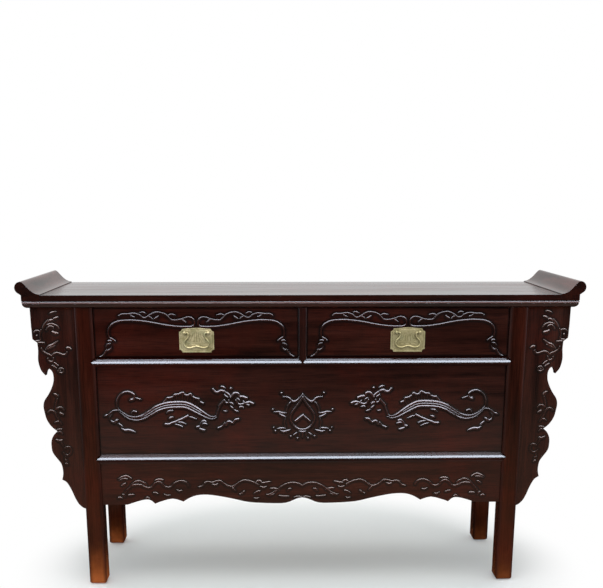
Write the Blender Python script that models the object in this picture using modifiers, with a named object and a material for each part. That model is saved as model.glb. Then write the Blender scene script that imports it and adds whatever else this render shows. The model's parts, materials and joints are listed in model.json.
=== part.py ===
# Two-drawer altar coffer with raised ends, scalloped wings and brass bail pulls.
# Metres, +Z up, front towards -Y, origin on the floor under the middle of the top.
# It is joined as a cabinet maker joins it: tenons in mortises, tongues in grooves,
# pointed shoulders where the front rails meet the legs, and dovetails on the drawers.

import math

import bmesh
import bpy
from mathutils import Matrix, Vector

# Fits
FIT = 0.0003                    # clearance between pieces that touch
OVERCUT = 0.001                 # how far a cutter runs past the face it opens
ROOT = 0.004                    # how far a tenon starts inside its own piece

# Top: frame, floating panel and raised ends
TOP_LENGTH = 1.528              # over the end frames, without the rolls
TOP_DEPTH = 0.380
TOP_HEIGHT = 0.854              # floor to the flat surface
TOP_THICKNESS = 0.036
TOP_RAIL_WIDTH = 0.064
TOP_END_WIDTH = 0.050
TOP_PANEL_THICKNESS = 0.012
TOP_OVERHANG = 0.012            # past the legs, at the front and at the back
TOP_TENON_LENGTH = 0.028
TOP_TENON_WIDTH = 0.030
TOP_TENON_THICKNESS = 0.011
TOP_TENON_RAISE = 0.008         # above the underside
EDGE_BAND = 0.016               # flat upper band of the edge moulding
EDGE_QUIRK = 0.0010             # fine step on each side of the bead
EDGE_BEAD = 0.0024              # radius of the bead
EDGE_TUCK = 0.015               # how far the lower round draws in
FLANGE_RISE = 0.037
FLANGE_STEP = 0.0022            # foot of the sweep above the flat surface
ROLL_RADIUS = 0.017
ROLL_REACH = 0.016              # roll past the end of the frame
ROLL_TURN = 60                  # degrees below level where the roll runs into its neck
NECK_HEIGHT = 0.0005            # foot of the neck above the surface
SWEEP_START = 0.026             # handles of the hollow sweep up to the roll
SWEEP_LIFT = 0.001
SWEEP_END = 0.010
BATTEN_WIDTH = 0.040
BATTEN_HEIGHT = 0.020
BATTEN_SPACING = 0.420
BATTEN_TENON_LENGTH = 0.010
BATTEN_TENON_WIDTH = 0.024
BATTEN_SHOULDER = 0.004
DOVETAIL_ROOT = 0.020           # width of the batten's dovetail where it leaves the batten
DOVETAIL_FLARE = 0.003
DOVETAIL_DEPTH = 0.003

# Legs and rails
LEG = 0.050                     # square section
LEG_ROUND = 0.006
END_OVERHANG = 0.137            # top past the legs, at each end
LEG_TENON = 0.022               # square tenon into the top
LEG_TENON_LENGTH = 0.018
DRAWER_SPACE = 0.138            # from the mid rail up to the underside of the top
PANEL_SPACE = 0.256             # from the lower rail up to the mid rail
RAIL_HEIGHT = 0.026
FRONT_RAIL_DEPTH = 0.040
FRONT_RAIL_SETBACK = 0.001
FRONT_RAIL_SLOPE = 0.010        # depth of the sloped upper face
FRONT_RAIL_FALL = 0.004         # how far it falls towards the front
FRONT_RAIL_ROUND = 0.004        # rounded upper front edge
RAIL_TENON_LENGTH = 0.018
RAIL_TENON_THICKNESS = 0.012
RAIL_TENON_INSET = 0.006        # from the back of a front rail
RAIL_TENON_SHOULDER = 0.0015    # past the grooves, above and below the tenon
POINT_REACH = 0.011             # pointed shoulder over the leg's face
POINT_DEPTH = 0.008
THIN_RAIL_DEPTH = 0.025         # side and back rails
THIN_RAIL_SETBACK = 0.010
DIVIDER_WIDTH = 0.022
DIVIDER_ROUND = 0.003
DIVIDER_POINT = 0.022           # pointed shoulder over the mid rail
DIVIDER_TENON_WIDTH = 0.010
DIVIDER_TENON_LENGTH = 0.014

# Panels, apron and floor
PANEL_THICKNESS = 0.010
PANEL_SETBACK = 0.010           # front panel behind the front rails
TONGUE = 0.006
GROOVE = 0.007
APRON_THICKNESS = 0.014
APRON_SETBACK = 0.006
APRON_DROP = 0.126              # below the lower rail, beside the legs
APRON_TONGUE_INSET = 0.008      # from the corners of the apron
FLOOR_THICKNESS = 0.010
FLOOR_BATTEN_WIDTH = 0.040
RUNNER_WIDTH = 0.026
CENTER_RUNNER_WIDTH = 0.060
RUNNER_HEIGHT = 0.022
RUNNER_TENON_LENGTH = 0.008
RUNNER_SHOULDER = 0.005
GUIDE_WIDTH = 0.018             # strip that keeps the two drawers apart
GUIDE_HEIGHT = 0.020

# Wings
WING_THICKNESS = 0.018
WING_SETBACK = 0.012
WING_REACH = 0.122              # out from the leg, under the top
WING_DROP = 0.584               # down the leg, from the underside of the top
WING_TONGUE_DEPTH = 0.006
WING_TONGUE_INSET = 0.020

# Drawers
DRAWER_GAP = 0.0012
DRAWER_SETBACK = 0.007
DRAWER_FRONT_THICKNESS = 0.020
DRAWER_BOARD = 0.010
DRAWER_BACK_ROOM = 0.026        # behind the drawer, in front of the back rails
DRAWER_HEADROOM = 0.0157        # above the drawer's sides
DRAWER_BOTTOM_THICKNESS = 0.007
DRAWER_BOTTOM_RAISE = 0.008
DRAWER_BOTTOM_GROOVE = 0.005
DRAWER_BACK_INSET = 0.004
DRAWER_BACK_DADO = 0.004
DRAWER_BACK_DROP = 0.006        # back below the top of the sides
TAIL_LENGTH = 0.012
TAIL_ROOT = 0.020
TAIL_END = 0.028
TAIL_FOOT = 0.045               # middle of the lower tail above the foot of the side
TAIL_HEAD = 0.030               # middle of the upper tail below the top of the side

# Pulls
PLATE_WIDTH = 0.096
PLATE_HEIGHT = 0.066
PLATE_THICKNESS = 0.0015
PLATE_NOTCH = 0.008             # radius of the hollowed corners
PLATE_ARCH = 0.003              # rise of the upper edge
PLATE_DROP = 0.023              # below the middle of the drawer front
POST_SPACING = 0.065
POST_RAISE = 0.023              # above the middle of the plate
POST_HEAD_RADIUS = 0.0052
POST_HEAD_LENGTH = 0.0105
POST_DOME = 0.003
POST_SHANK_RADIUS = 0.002
POST_CLINCH_RADIUS = 0.004
POST_CLINCH_LENGTH = 0.0015
PIVOT_STANDOFF = 0.0055         # bail axis in front of the plate
PIVOT_CLEARANCE = 0.0003
BAIL_WIRE = 0.005
BAIL_PIN = 0.004                # ends of the bail, turned down to enter the posts
BAIL_PIN_DEPTH = 0.0065         # pin inside the post
BAIL_DROP = 0.042
BAIL_REACH = 0.0345             # half width of the lobes

# Outline of a wing: distance out from the leg and drop below the top, as read off the board.
# Each run is smooth, and the runs meet in the cusps of the scallops.
WING_RUNS = (
    ((122, 0), (121, 79), (118, 89), (108, 97)),
    ((108, 97), (107, 119), (109, 145), (106, 165), (101, 178), (91, 190)),
    ((91, 190), (88, 179), (80, 171), (71, 182), (70, 204), (77, 226), (88, 246),
     (99, 262), (103, 278), (101, 296), (96, 318), (84, 338), (68, 352)),
    ((68, 352), (79, 362), (87, 379), (88, 399), (85, 416), (73, 434), (63, 450),
     (60, 471), (61, 484), (64, 496)),
    ((64, 496), (51, 505), (39, 528), (30, 552), (20, 571), (7, 583), (0, 584)),
)

# Lower edge of the apron, from the leg to the middle: distance from the middle and drop below the rail
APRON_RUNS = (
    ((577, 126), (506, 126)),
    ((506, 126), (465, 113), (442, 112), (427, 124)),
    ((427, 124), (412, 118), (376, 109), (345, 118)),
    ((345, 118), (323, 105), (297, 98), (260, 99), (203, 110), (155, 121), (92, 125),
     (48, 124), (17, 112), (0, 108)),
)

# Half of the bail from the neck to the middle, as shares of its half width and of its drop
BAIL_SHAPE = ((0.68, 0.30), (0.90, 0.50), (1.00, 0.72), (0.87, 0.92), (0.57, 1.00), (0.26, 0.94), (0.0, 0.88))

# Places worked out from the sizes above
UNDER = TOP_HEIGHT - TOP_THICKNESS
HALF_LENGTH = TOP_LENGTH / 2
HALF_DEPTH = TOP_DEPTH / 2
END_INNER = HALF_LENGTH - TOP_END_WIDTH
TOP_RAIL_INNER = HALF_DEPTH - TOP_RAIL_WIDTH
LEG_OUT = HALF_LENGTH - END_OVERHANG
LEG_IN = LEG_OUT - LEG
LEG_MIDDLE = LEG_OUT - LEG / 2
LEG_OUTER_Y = HALF_DEPTH - TOP_OVERHANG
LEG_INNER_Y = LEG_OUTER_Y - LEG
MID_RAIL_TOP = UNDER - DRAWER_SPACE
LOWER_RAIL_TOP = MID_RAIL_TOP - RAIL_HEIGHT - PANEL_SPACE
RAIL_FACE = -LEG_OUTER_Y + FRONT_RAIL_SETBACK
RAIL_BACK = RAIL_FACE + FRONT_RAIL_DEPTH
BACK_RAIL_OUTER = LEG_OUTER_Y - THIN_RAIL_SETBACK
BACK_RAIL_INNER = BACK_RAIL_OUTER - THIN_RAIL_DEPTH
SIDE_RAIL_OUTER = LEG_OUT - THIN_RAIL_SETBACK
SIDE_RAIL_INNER = SIDE_RAIL_OUTER - THIN_RAIL_DEPTH
BACK_PANEL_FACE = (BACK_RAIL_OUTER + BACK_RAIL_INNER - PANEL_THICKNESS) / 2
SIDE_PANEL_FACE = (SIDE_RAIL_OUTER + SIDE_RAIL_INNER - PANEL_THICKNESS) / 2
FRONT_PANEL_FACE = RAIL_FACE + PANEL_SETBACK
RAIL_LEVELS = (("top", UNDER - FIT), ("mid", MID_RAIL_TOP), ("lower", LOWER_RAIL_TOP))
SIDES = (("left", -1), ("right", 1))
CURVE_STEPS = 3                 # points to a span of a smooth outline
ROUND_STEPS = 4                 # points to a quarter turn

# Columns that lay an outline's two directions and its thickness along the world's axes
LAID_ALONG = {
    "X": Matrix(((0, 0, 1), (1, 0, 0), (0, 1, 0))),
    "Y": Matrix(((1, 0, 0), (0, 0, -1), (0, 1, 0))),
    "Z": Matrix.Identity(3),
}

for leftover in list(bpy.data.objects):
    bpy.data.objects.remove(leftover, do_unlink=True)


# Collections and materials

def new_collection(name):
    collection = bpy.data.collections.new(name)
    bpy.context.scene.collection.children.link(collection)
    return collection


def new_material(name, color, roughness, metallic=0.0):
    material = bpy.data.materials.new(name)
    material.use_nodes = True
    shader = material.node_tree.nodes["Principled BSDF"]
    shader.inputs["Base Color"].default_value = (*color, 1.0)
    shader.inputs["Roughness"].default_value = roughness
    shader.inputs["Metallic"].default_value = metallic
    return material


parts = new_collection("altar_coffer")
cutters = new_collection("cutters")
lacquer = new_material("lacquered_wood", (0.045, 0.012, 0.009), 0.35)
plain_wood = new_material("plain_wood", (0.22, 0.115, 0.055), 0.6)
brass = new_material("aged_brass", (0.42, 0.36, 0.20), 0.4, 1.0)
pieces = {}


# Shapes

def corners(a, b):
    return Vector(map(min, a, b)), Vector(map(max, a, b))


def link(name, data, location, material):
    obj = bpy.data.objects.new(name, data)
    obj.location = location
    if material:
        data.materials.append(material)
        parts.objects.link(obj)
        pieces[name] = obj
    else:
        cutters.objects.link(obj)
        obj.hide_render = True
        obj.display_type = "WIRE"
    return obj


def box(name, a, b, material=None):
    low, high = corners(a, b)
    bm = bmesh.new()
    bmesh.ops.create_cube(bm, size=1.0, matrix=Matrix.Diagonal((*(high - low), 1.0)))
    mesh = bpy.data.meshes.new(name)
    bm.to_mesh(mesh)
    bm.free()
    return link(name, mesh, (low + high) / 2, material)


def slab(name, outline, axis, start, end, material=None):
    curve = bpy.data.curves.new(name, "CURVE")
    curve.dimensions = "2D"
    curve.fill_mode = "BOTH"
    curve.extrude = abs(end - start) / 2
    spline = curve.splines.new("POLY")
    spline.points.add(len(outline) - 1)
    for point, (a, b) in zip(spline.points, outline):
        point.co = (a, b, 0.0, 1.0)
    spline.use_cyclic_u = True
    guide = bpy.data.objects.new(name, curve)
    bpy.context.scene.collection.objects.link(guide)
    evaluated = guide.evaluated_get(bpy.context.evaluated_depsgraph_get())
    mesh = bpy.data.meshes.new_from_object(evaluated)
    mesh.name = name
    bpy.data.objects.remove(guide, do_unlink=True)
    bm = bmesh.new()
    bm.from_mesh(mesh)
    bmesh.ops.remove_doubles(bm, verts=bm.verts, dist=0.00001)
    bm.transform(LAID_ALONG[axis].to_4x4())
    bmesh.ops.recalc_face_normals(bm, faces=bm.faces)
    bm.to_mesh(mesh)
    bm.free()
    location = Vector((0.0, 0.0, 0.0))
    location["XYZ".index(axis)] = (start + end) / 2
    return link(name, mesh, location, material)


def rod(name, start, end, radius, sides=16):
    start, end = Vector(start), Vector(end)
    along = end - start
    bm = bmesh.new()
    turn = along.to_track_quat("Z", "Y").to_matrix().to_4x4()
    bmesh.ops.create_cone(bm, cap_ends=True, segments=sides, radius1=radius, radius2=radius,
                          depth=along.length, matrix=turn)
    mesh = bpy.data.meshes.new(name)
    bm.to_mesh(mesh)
    bm.free()
    return link(name, mesh, (start + end) / 2, None)


def boolean(piece, tool, operation):
    modifier = piece.modifiers.new(tool.name, "BOOLEAN")
    modifier.operation = operation
    modifier.object = tool
    modifier.solver = "EXACT"


def join(piece, tool):
    boolean(piece, tool, "UNION")


def cut(piece, tool):
    boolean(piece, tool, "DIFFERENCE")


def keep(piece, tool):
    boolean(piece, tool, "INTERSECT")


def let_in(piece, hosts, a, b):
    # A tenon or tongue on the piece, and its mortise or groove in each host
    low, high = corners(a, b)
    join(piece, box(piece.name + "_tenon", low, high))
    room = Vector((FIT, FIT, FIT))
    mortise = box(piece.name + "_mortise", low - room, high + room)
    for host in hosts:
        cut(pieces[host], mortise)


def arc(center, radius, start, end, steps):
    angles = [math.radians(start + (end - start) * i / steps) for i in range(steps + 1)]
    return [(center[0] + radius * math.cos(a), center[1] + radius * math.sin(a)) for a in angles]


def smooth_run(points, steps):
    # Catmull-Rom curve through the points
    padded = [points[0], *points, points[-1]]
    run = []
    for before, a, b, after in zip(padded, padded[1:], padded[2:], padded[3:]):
        for i in range(steps):
            t = i / steps
            weights = (-t + 2 * t ** 2 - t ** 3, 2 - 5 * t ** 2 + 3 * t ** 3,
                       t + 4 * t ** 2 - 3 * t ** 3, -t ** 2 + t ** 3)
            pairs = list(zip(weights, (before, a, b, after)))
            run.append(tuple(sum(w * p[k] for w, p in pairs) / 2 for k in range(len(a))))
    return run + [tuple(points[-1])]


def outline_of(runs, across, down):
    # Runs in the units they were read in, scaled to the named width and drop
    widest = max(u for run in runs for u, _ in run)
    deepest = max(d for run in runs for _, d in run)
    line = []
    for run in runs:
        scaled = [(u * across / widest, -d * down / deepest) for u, d in run]
        steps = CURVE_STEPS if len(run) > 2 else 1
        line += smooth_run(scaled, steps)[:-1]
    return line + [scaled[-1]]


# Top

def edge_moulding():
    # Inset and height, from the foot of the flat band to the underside
    top = TOP_HEIGHT - EDGE_BAND
    bead = top - EDGE_QUIRK - EDGE_BEAD
    shoulder = bead - EDGE_BEAD - EDGE_QUIRK
    line = [(0.0, top)]
    line += [(EDGE_BEAD - x, z) for x, z in arc((0.0, bead), EDGE_BEAD, 90, -90, 2 * ROUND_STEPS)]
    for i in range(ROUND_STEPS + 1):
        turn = math.pi / 2 * i / ROUND_STEPS
        inset = EDGE_TUCK - (EDGE_TUCK - EDGE_QUIRK) * math.cos(turn)
        line.append((inset, shoulder - (shoulder - UNDER) * math.sin(turn)))
    return line


def top_rail(name, face):
    profile = [(face * TOP_RAIL_INNER, UNDER), (face * TOP_RAIL_INNER, TOP_HEIGHT),
               (face * HALF_DEPTH, TOP_HEIGHT)]
    profile += [(face * (HALF_DEPTH - inset), z) for inset, z in edge_moulding()]
    rail = slab(name, profile, "X", -END_INNER + FIT, END_INNER - FIT, lacquer)
    middle = face * (HALF_DEPTH - TOP_RAIL_WIDTH / 2)
    foot = UNDER + TOP_TENON_RAISE
    for side, way in SIDES:
        let_in(rail, [f"top_{side}_end"],
               (way * (END_INNER - ROOT), middle - TOP_TENON_WIDTH / 2, foot),
               (way * (END_INNER + TOP_TENON_LENGTH), middle + TOP_TENON_WIDTH / 2,
                foot + TOP_TENON_THICKNESS))


def raised_end_profile():
    crest = TOP_HEIGHT + FLANGE_RISE
    roll = (HALF_LENGTH + ROLL_REACH - ROLL_RADIUS, crest - ROLL_RADIUS)
    foot = TOP_HEIGHT + FLANGE_STEP
    handles = ((END_INNER, foot), (END_INNER + SWEEP_START, foot + SWEEP_LIFT),
               (roll[0] - SWEEP_END, crest), (roll[0], crest))
    sweep = []
    for i in range(2 * ROUND_STEPS):
        t = i / (2 * ROUND_STEPS)
        weights = ((1 - t) ** 3, 3 * t * (1 - t) ** 2, 3 * t ** 2 * (1 - t), t ** 3)
        sweep.append(tuple(sum(w * p[k] for w, p in zip(weights, handles)) for k in (0, 1)))
    line = [(END_INNER, UNDER)] + sweep
    line += arc(roll, ROLL_RADIUS, 90, -ROLL_TURN, 3 * ROUND_STEPS)
    line.append((HALF_LENGTH, TOP_HEIGHT + NECK_HEIGHT))
    return line + [(HALF_LENGTH - inset, z) for inset, z in edge_moulding()]


def top_end(side, way):
    profile = [(way * x, z) for x, z in raised_end_profile()]
    end = slab(f"top_{side}_end", profile, "Y", -HALF_DEPTH, HALF_DEPTH, lacquer)
    for face in (-1, 1):
        waste = [(face * (HALF_DEPTH + OVERCUT), TOP_HEIGHT - EDGE_BAND)]
        waste += [(face * (HALF_DEPTH - inset), z) for inset, z in edge_moulding()]
        waste += [(face * (HALF_DEPTH - EDGE_TUCK), UNDER - OVERCUT),
                  (face * (HALF_DEPTH + OVERCUT), UNDER - OVERCUT)]
        reach = way * (HALF_LENGTH + ROLL_REACH + OVERCUT)
        cut(end, slab(end.name + "_edge", waste, "X", *sorted((way * (END_INNER - OVERCUT), reach))))


def top_panel():
    low, high = TOP_HEIGHT - TOP_PANEL_THICKNESS, TOP_HEIGHT
    x, y = END_INNER - FIT, TOP_RAIL_INNER - FIT
    panel = box("top_panel", (-x, -y, low), (x, y, high), lacquer)
    middle = (low + high) / 2
    x, y = END_INNER + GROOVE - FIT, TOP_RAIL_INNER + GROOVE - FIT
    let_in(panel, ["top_front_rail", "top_back_rail", "top_left_end", "top_right_end"],
           (-x, -y, middle - TONGUE / 2), (x, y, middle + TONGUE / 2))


def top_batten(name, x):
    crown = TOP_HEIGHT - TOP_PANEL_THICKNESS - FIT
    foot = crown - BATTEN_HEIGHT
    half, root = BATTEN_WIDTH / 2, DOVETAIL_ROOT / 2
    tip = root + DOVETAIL_FLARE
    tail = [(root, crown), (tip, crown + DOVETAIL_DEPTH), (-tip, crown + DOVETAIL_DEPTH), (-root, crown)]
    outline = [(-half, foot), (half, foot), (half, crown), *tail, (-half, crown)]
    reach = TOP_RAIL_INNER - FIT
    batten = slab(name, [(x + u, z) for u, z in outline], "Y", -reach, reach, plain_wood)
    slope = DOVETAIL_FLARE / DOVETAIL_DEPTH * OVERCUT
    room = 2 * FIT
    socket = [(root + room - slope, crown - OVERCUT), (tip + room, crown + DOVETAIL_DEPTH + FIT),
              (-tip - room, crown + DOVETAIL_DEPTH + FIT), (-root - room + slope, crown - OVERCUT)]
    reach = TOP_RAIL_INNER + OVERCUT
    cut(pieces["top_panel"],
        slab(name + "_socket", [(x + u, z) for u, z in socket], "Y", -reach, reach))
    for host, face in (("top_front_rail", -1), ("top_back_rail", 1)):
        let_in(batten, [host],
               (x - BATTEN_TENON_WIDTH / 2, face * (TOP_RAIL_INNER - ROOT), foot + BATTEN_SHOULDER),
               (x + BATTEN_TENON_WIDTH / 2, face * (TOP_RAIL_INNER + BATTEN_TENON_LENGTH),
                crown - BATTEN_SHOULDER))


# Legs and rails

def leg(name, way, face):
    half = LEG / 2 - LEG_ROUND
    outline = []
    for x, y, start in ((1, 1, 0), (-1, 1, 90), (-1, -1, 180), (1, -1, 270)):
        outline += arc((x * half, y * half), LEG_ROUND, start, start + 90, ROUND_STEPS)
    x, y = way * LEG_MIDDLE, face * (LEG_OUTER_Y - LEG / 2)
    post = slab(name, [(x + u, y + v) for u, v in outline], "Z", 0.0, UNDER - FIT, lacquer)
    host = "top_front_rail" if face < 0 else "top_back_rail"
    half = LEG_TENON / 2
    let_in(post, [host], (x - half, y - half, UNDER - ROOT), (x + half, y + half, UNDER + LEG_TENON_LENGTH))


def front_rail(name, top):
    foot = top - RAIL_HEIGHT
    middle = (top + foot) / 2
    tip = LEG_IN + POINT_REACH
    slope = math.atan2(FRONT_RAIL_FALL, FRONT_RAIL_SLOPE)
    turn = FRONT_RAIL_SLOPE - FRONT_RAIL_ROUND * (1 - math.sin(slope))
    center = (RAIL_FACE + FRONT_RAIL_ROUND, top - turn * math.tan(slope) - FRONT_RAIL_ROUND * math.cos(slope))
    profile = [(RAIL_FACE, foot)]
    profile += arc(center, FRONT_RAIL_ROUND, 180, 90 + math.degrees(slope), ROUND_STEPS)
    profile += [(RAIL_FACE + FRONT_RAIL_SLOPE, top), (RAIL_BACK, top), (RAIL_BACK, foot)]
    rail = slab(name, profile, "X", -tip - OVERCUT, tip + OVERCUT, lacquer)
    inner = LEG_IN - FIT
    right = [(inner, foot - OVERCUT), (inner, foot), (tip, middle), (inner, top), (inner, top + OVERCUT)]
    left = [(-x, z) for x, z in reversed(right)]
    keep(rail, slab(name + "_points", right + left, "Y", RAIL_FACE - OVERCUT, RAIL_BACK + OVERCUT))
    behind = RAIL_FACE + POINT_DEPTH
    lean = RAIL_HEIGHT / 2 / POINT_REACH
    for side, way in SIDES:
        cut(rail, box(name + "_shoulder", (way * inner, behind, foot - OVERCUT),
                      (way * (tip + 2 * OVERCUT), RAIL_BACK + OVERCUT, top + OVERCUT)))
        host = f"leg_front_{side}"
        apex = tip + 2 * FIT
        base = LEG_IN - OVERCUT
        notch = [(way * base, middle - lean * (apex - base)), (way * apex, middle),
                 (way * base, middle + lean * (apex - base))]
        cut(pieces[host], slab(name + "_notch", notch, "Y", -LEG_OUTER_Y - OVERCUT, behind + FIT))
        back = RAIL_BACK - RAIL_TENON_INSET
        let_in(rail, [host],
               (way * (inner - ROOT), back - RAIL_TENON_THICKNESS, foot + GROOVE),
               (way * (LEG_IN + RAIL_TENON_LENGTH), back, top - GROOVE))


def thin_rail(name, a, b, along, hosts):
    # A side or back rail between two legs, with a tenon at each end
    low, high = corners(a, b)
    axis = "XYZ".index(along)
    gap = Vector((0.0, 0.0, 0.0))
    gap[axis] = FIT
    rail = box(name, low + gap, high - gap, lacquer)
    across = 1 - axis
    middle = (low[across] + high[across]) / 2
    for host, start, way in zip(hosts, (low[axis], high[axis]), (-1, 1)):
        a, b = Vector(low), Vector(high)
        a[across], b[across] = middle - RAIL_TENON_THICKNESS / 2, middle + RAIL_TENON_THICKNESS / 2
        a[axis], b[axis] = start - way * ROOT, start + way * RAIL_TENON_LENGTH
        a[2] += GROOVE + RAIL_TENON_SHOULDER
        b[2] -= GROOVE + RAIL_TENON_SHOULDER
        let_in(rail, [host], a, b)


def back_rails():
    for level, top in RAIL_LEVELS:
        thin_rail(f"back_{level}_rail", (-LEG_IN, BACK_RAIL_INNER, top - RAIL_HEIGHT),
                  (LEG_IN, BACK_RAIL_OUTER, top), "X", ("leg_rear_left", "leg_rear_right"))


def side_rails(side, way):
    for level, top in RAIL_LEVELS:
        thin_rail(f"side_{level}_rail_{side}", (way * SIDE_RAIL_INNER, -LEG_INNER_Y, top - RAIL_HEIGHT),
                  (way * SIDE_RAIL_OUTER, LEG_INNER_Y, top), "Y", (f"leg_front_{side}", f"leg_rear_{side}"))


def drawer_divider():
    half = DIVIDER_WIDTH / 2
    foot, top = MID_RAIL_TOP + FIT, UNDER - FIT
    tip = foot - DIVIDER_POINT
    behind = RAIL_FACE + POINT_DEPTH
    turn = half - DIVIDER_ROUND
    outline = arc((-turn, RAIL_FACE + DIVIDER_ROUND), DIVIDER_ROUND, 180, 270, ROUND_STEPS)
    outline += arc((turn, RAIL_FACE + DIVIDER_ROUND), DIVIDER_ROUND, 270, 360, ROUND_STEPS)
    outline += [(half, RAIL_BACK), (-half, RAIL_BACK)]
    divider = slab("drawer_divider", outline, "Z", tip - OVERCUT, top, lacquer)
    wide = half + OVERCUT
    point = [(wide, top + OVERCUT), (-wide, top + OVERCUT), (-wide, foot), (-half, foot),
             (0.0, tip), (half, foot), (wide, foot)]
    keep(divider, slab("divider_point", point, "Y", RAIL_FACE - OVERCUT, RAIL_BACK + OVERCUT))
    cut(divider, box("divider_shoulder", (-wide, behind, tip - 2 * OVERCUT),
                     (wide, RAIL_BACK + OVERCUT, foot)))
    apex = tip - 2 * FIT
    lean = half / DIVIDER_POINT
    base = foot + OVERCUT
    notch = [(0.0, apex), (lean * (base - apex), base), (-lean * (base - apex), base)]
    cut(pieces["front_mid_rail"],
        slab("divider_notch", notch, "Y", RAIL_FACE - OVERCUT, behind + FIT))
    back = RAIL_BACK - RAIL_TENON_INSET - RUNNER_TENON_LENGTH
    half = DIVIDER_TENON_WIDTH / 2
    front = back - RAIL_TENON_THICKNESS
    let_in(divider, ["front_mid_rail"], (-half, front, foot - DIVIDER_TENON_LENGTH), (half, back, foot + ROOT))
    let_in(divider, ["top_front_rail"], (-half, front, UNDER - ROOT),
           (half, back, UNDER + DIVIDER_TENON_LENGTH))


# Panels, apron and floor

def tongued_panel(name, a, b, thin, hosts, material):
    # A floating panel that fills the opening from a to b, with a tongue all round
    low, high = corners(a, b)
    gap = Vector((FIT, FIT, FIT))
    axis = "XYZ".index(thin)
    gap[axis] = 0.0
    panel = box(name, low + gap, high - gap, material)
    reach = Vector((GROOVE - FIT,) * 3)
    middle = (low[axis] + high[axis]) / 2
    low, high = low - reach, high + reach
    low[axis], high[axis] = middle - TONGUE / 2, middle + TONGUE / 2
    let_in(panel, hosts, low, high)


def front_panel():
    tongued_panel("front_panel", (-LEG_IN, FRONT_PANEL_FACE, LOWER_RAIL_TOP),
                  (LEG_IN, FRONT_PANEL_FACE + PANEL_THICKNESS, MID_RAIL_TOP - RAIL_HEIGHT), "Y",
                  ("front_mid_rail", "front_lower_rail", "leg_front_left", "leg_front_right"), lacquer)


def carcass_panels():
    for above, below, name in (("top", "mid", "upper"), ("mid", "lower", "lower")):
        levels = dict(RAIL_LEVELS)
        top, foot = levels[above] - RAIL_HEIGHT, levels[below]
        tongued_panel(f"back_{name}_panel", (-LEG_IN, BACK_PANEL_FACE, foot),
                      (LEG_IN, BACK_PANEL_FACE + PANEL_THICKNESS, top), "Y",
                      (f"back_{above}_rail", f"back_{below}_rail", "leg_rear_left", "leg_rear_right"),
                      plain_wood)
        for side, way in SIDES:
            tongued_panel(f"side_{name}_panel_{side}", (way * SIDE_PANEL_FACE, -LEG_INNER_Y, foot),
                          (way * (SIDE_PANEL_FACE + PANEL_THICKNESS), LEG_INNER_Y, top), "X",
                          (f"side_{above}_rail_{side}", f"side_{below}_rail_{side}",
                           f"leg_front_{side}", f"leg_rear_{side}"), lacquer)


def front_apron():
    top = LOWER_RAIL_TOP - RAIL_HEIGHT
    face = RAIL_FACE + APRON_SETBACK
    half = LEG_IN - FIT
    right = [(x, top + z) for x, z in outline_of(APRON_RUNS, half, APRON_DROP)]
    left = [(-x, z) for x, z in reversed(right[:-1])]
    corners_above = [(-half, top - FIT), (half, top - FIT)]
    apron = slab("front_apron", corners_above + right + left, "Y", face, face + APRON_THICKNESS, lacquer)
    front = face + (APRON_THICKNESS - TONGUE) / 2
    back = front + TONGUE
    let_in(apron, ["front_lower_rail"], (-half + APRON_TONGUE_INSET, front, top - ROOT),
           (half - APRON_TONGUE_INSET, back, top + GROOVE - FIT))
    for side, way in SIDES:
        let_in(apron, [f"leg_front_{side}"],
               (way * (half - ROOT), front, top - APRON_DROP + APRON_TONGUE_INSET),
               (way * (LEG_IN + GROOVE - FIT), back, top - APRON_TONGUE_INSET))


def compartment_floor():
    front = FRONT_PANEL_FACE + PANEL_THICKNESS + FIT
    back = BACK_PANEL_FACE - FIT
    wide = SIDE_PANEL_FACE - FIT
    inner, ledge = LEG_IN - FIT, LEG_INNER_Y - FIT
    right = [(inner, front), (inner, -ledge), (wide, -ledge), (wide, ledge), (inner, ledge), (inner, back)]
    left = [(-x, y) for x, y in reversed(right)]
    foot = LOWER_RAIL_TOP + FIT
    slab("compartment_floor", right + left, "Z", foot, foot + FLOOR_THICKNESS, plain_wood)


def cross_bearer(name, x, width, top, hosts):
    # A runner or batten from the front rail to the back rail
    y = (RAIL_BACK + FIT, BACK_RAIL_INNER - FIT)
    foot = top - RUNNER_HEIGHT
    bearer = box(name, (x - width / 2, y[0], foot), (x + width / 2, y[1], top), plain_wood)
    half = width / 2 - RUNNER_SHOULDER
    for host, end, way in zip(hosts, y, (-1, 1)):
        let_in(bearer, [host], (x - half, end - way * ROOT, foot + RUNNER_SHOULDER),
               (x + half, end + way * RUNNER_TENON_LENGTH, top - RUNNER_SHOULDER - RUNNER_SHOULDER / 2))
    return bearer


def runners():
    hosts = ("front_mid_rail", "back_mid_rail")
    for side, way in SIDES:
        x = way * (LEG_IN - FIT - RUNNER_WIDTH / 2)
        cross_bearer(f"drawer_runner_{side}", x, RUNNER_WIDTH, MID_RAIL_TOP, hosts)
    center = cross_bearer("drawer_runner_center", 0.0, CENTER_RUNNER_WIDTH, MID_RAIL_TOP, hosts)
    join(center, box("drawer_guide", (-GUIDE_WIDTH / 2, RAIL_BACK + 2 * FIT, MID_RAIL_TOP - ROOT),
                     (GUIDE_WIDTH / 2, BACK_RAIL_INNER - 2 * FIT, MID_RAIL_TOP + GUIDE_HEIGHT)))
    cross_bearer("floor_batten", 0.0, FLOOR_BATTEN_WIDTH, LOWER_RAIL_TOP,
                 ("front_lower_rail", "back_lower_rail"))


# Wings

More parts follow.
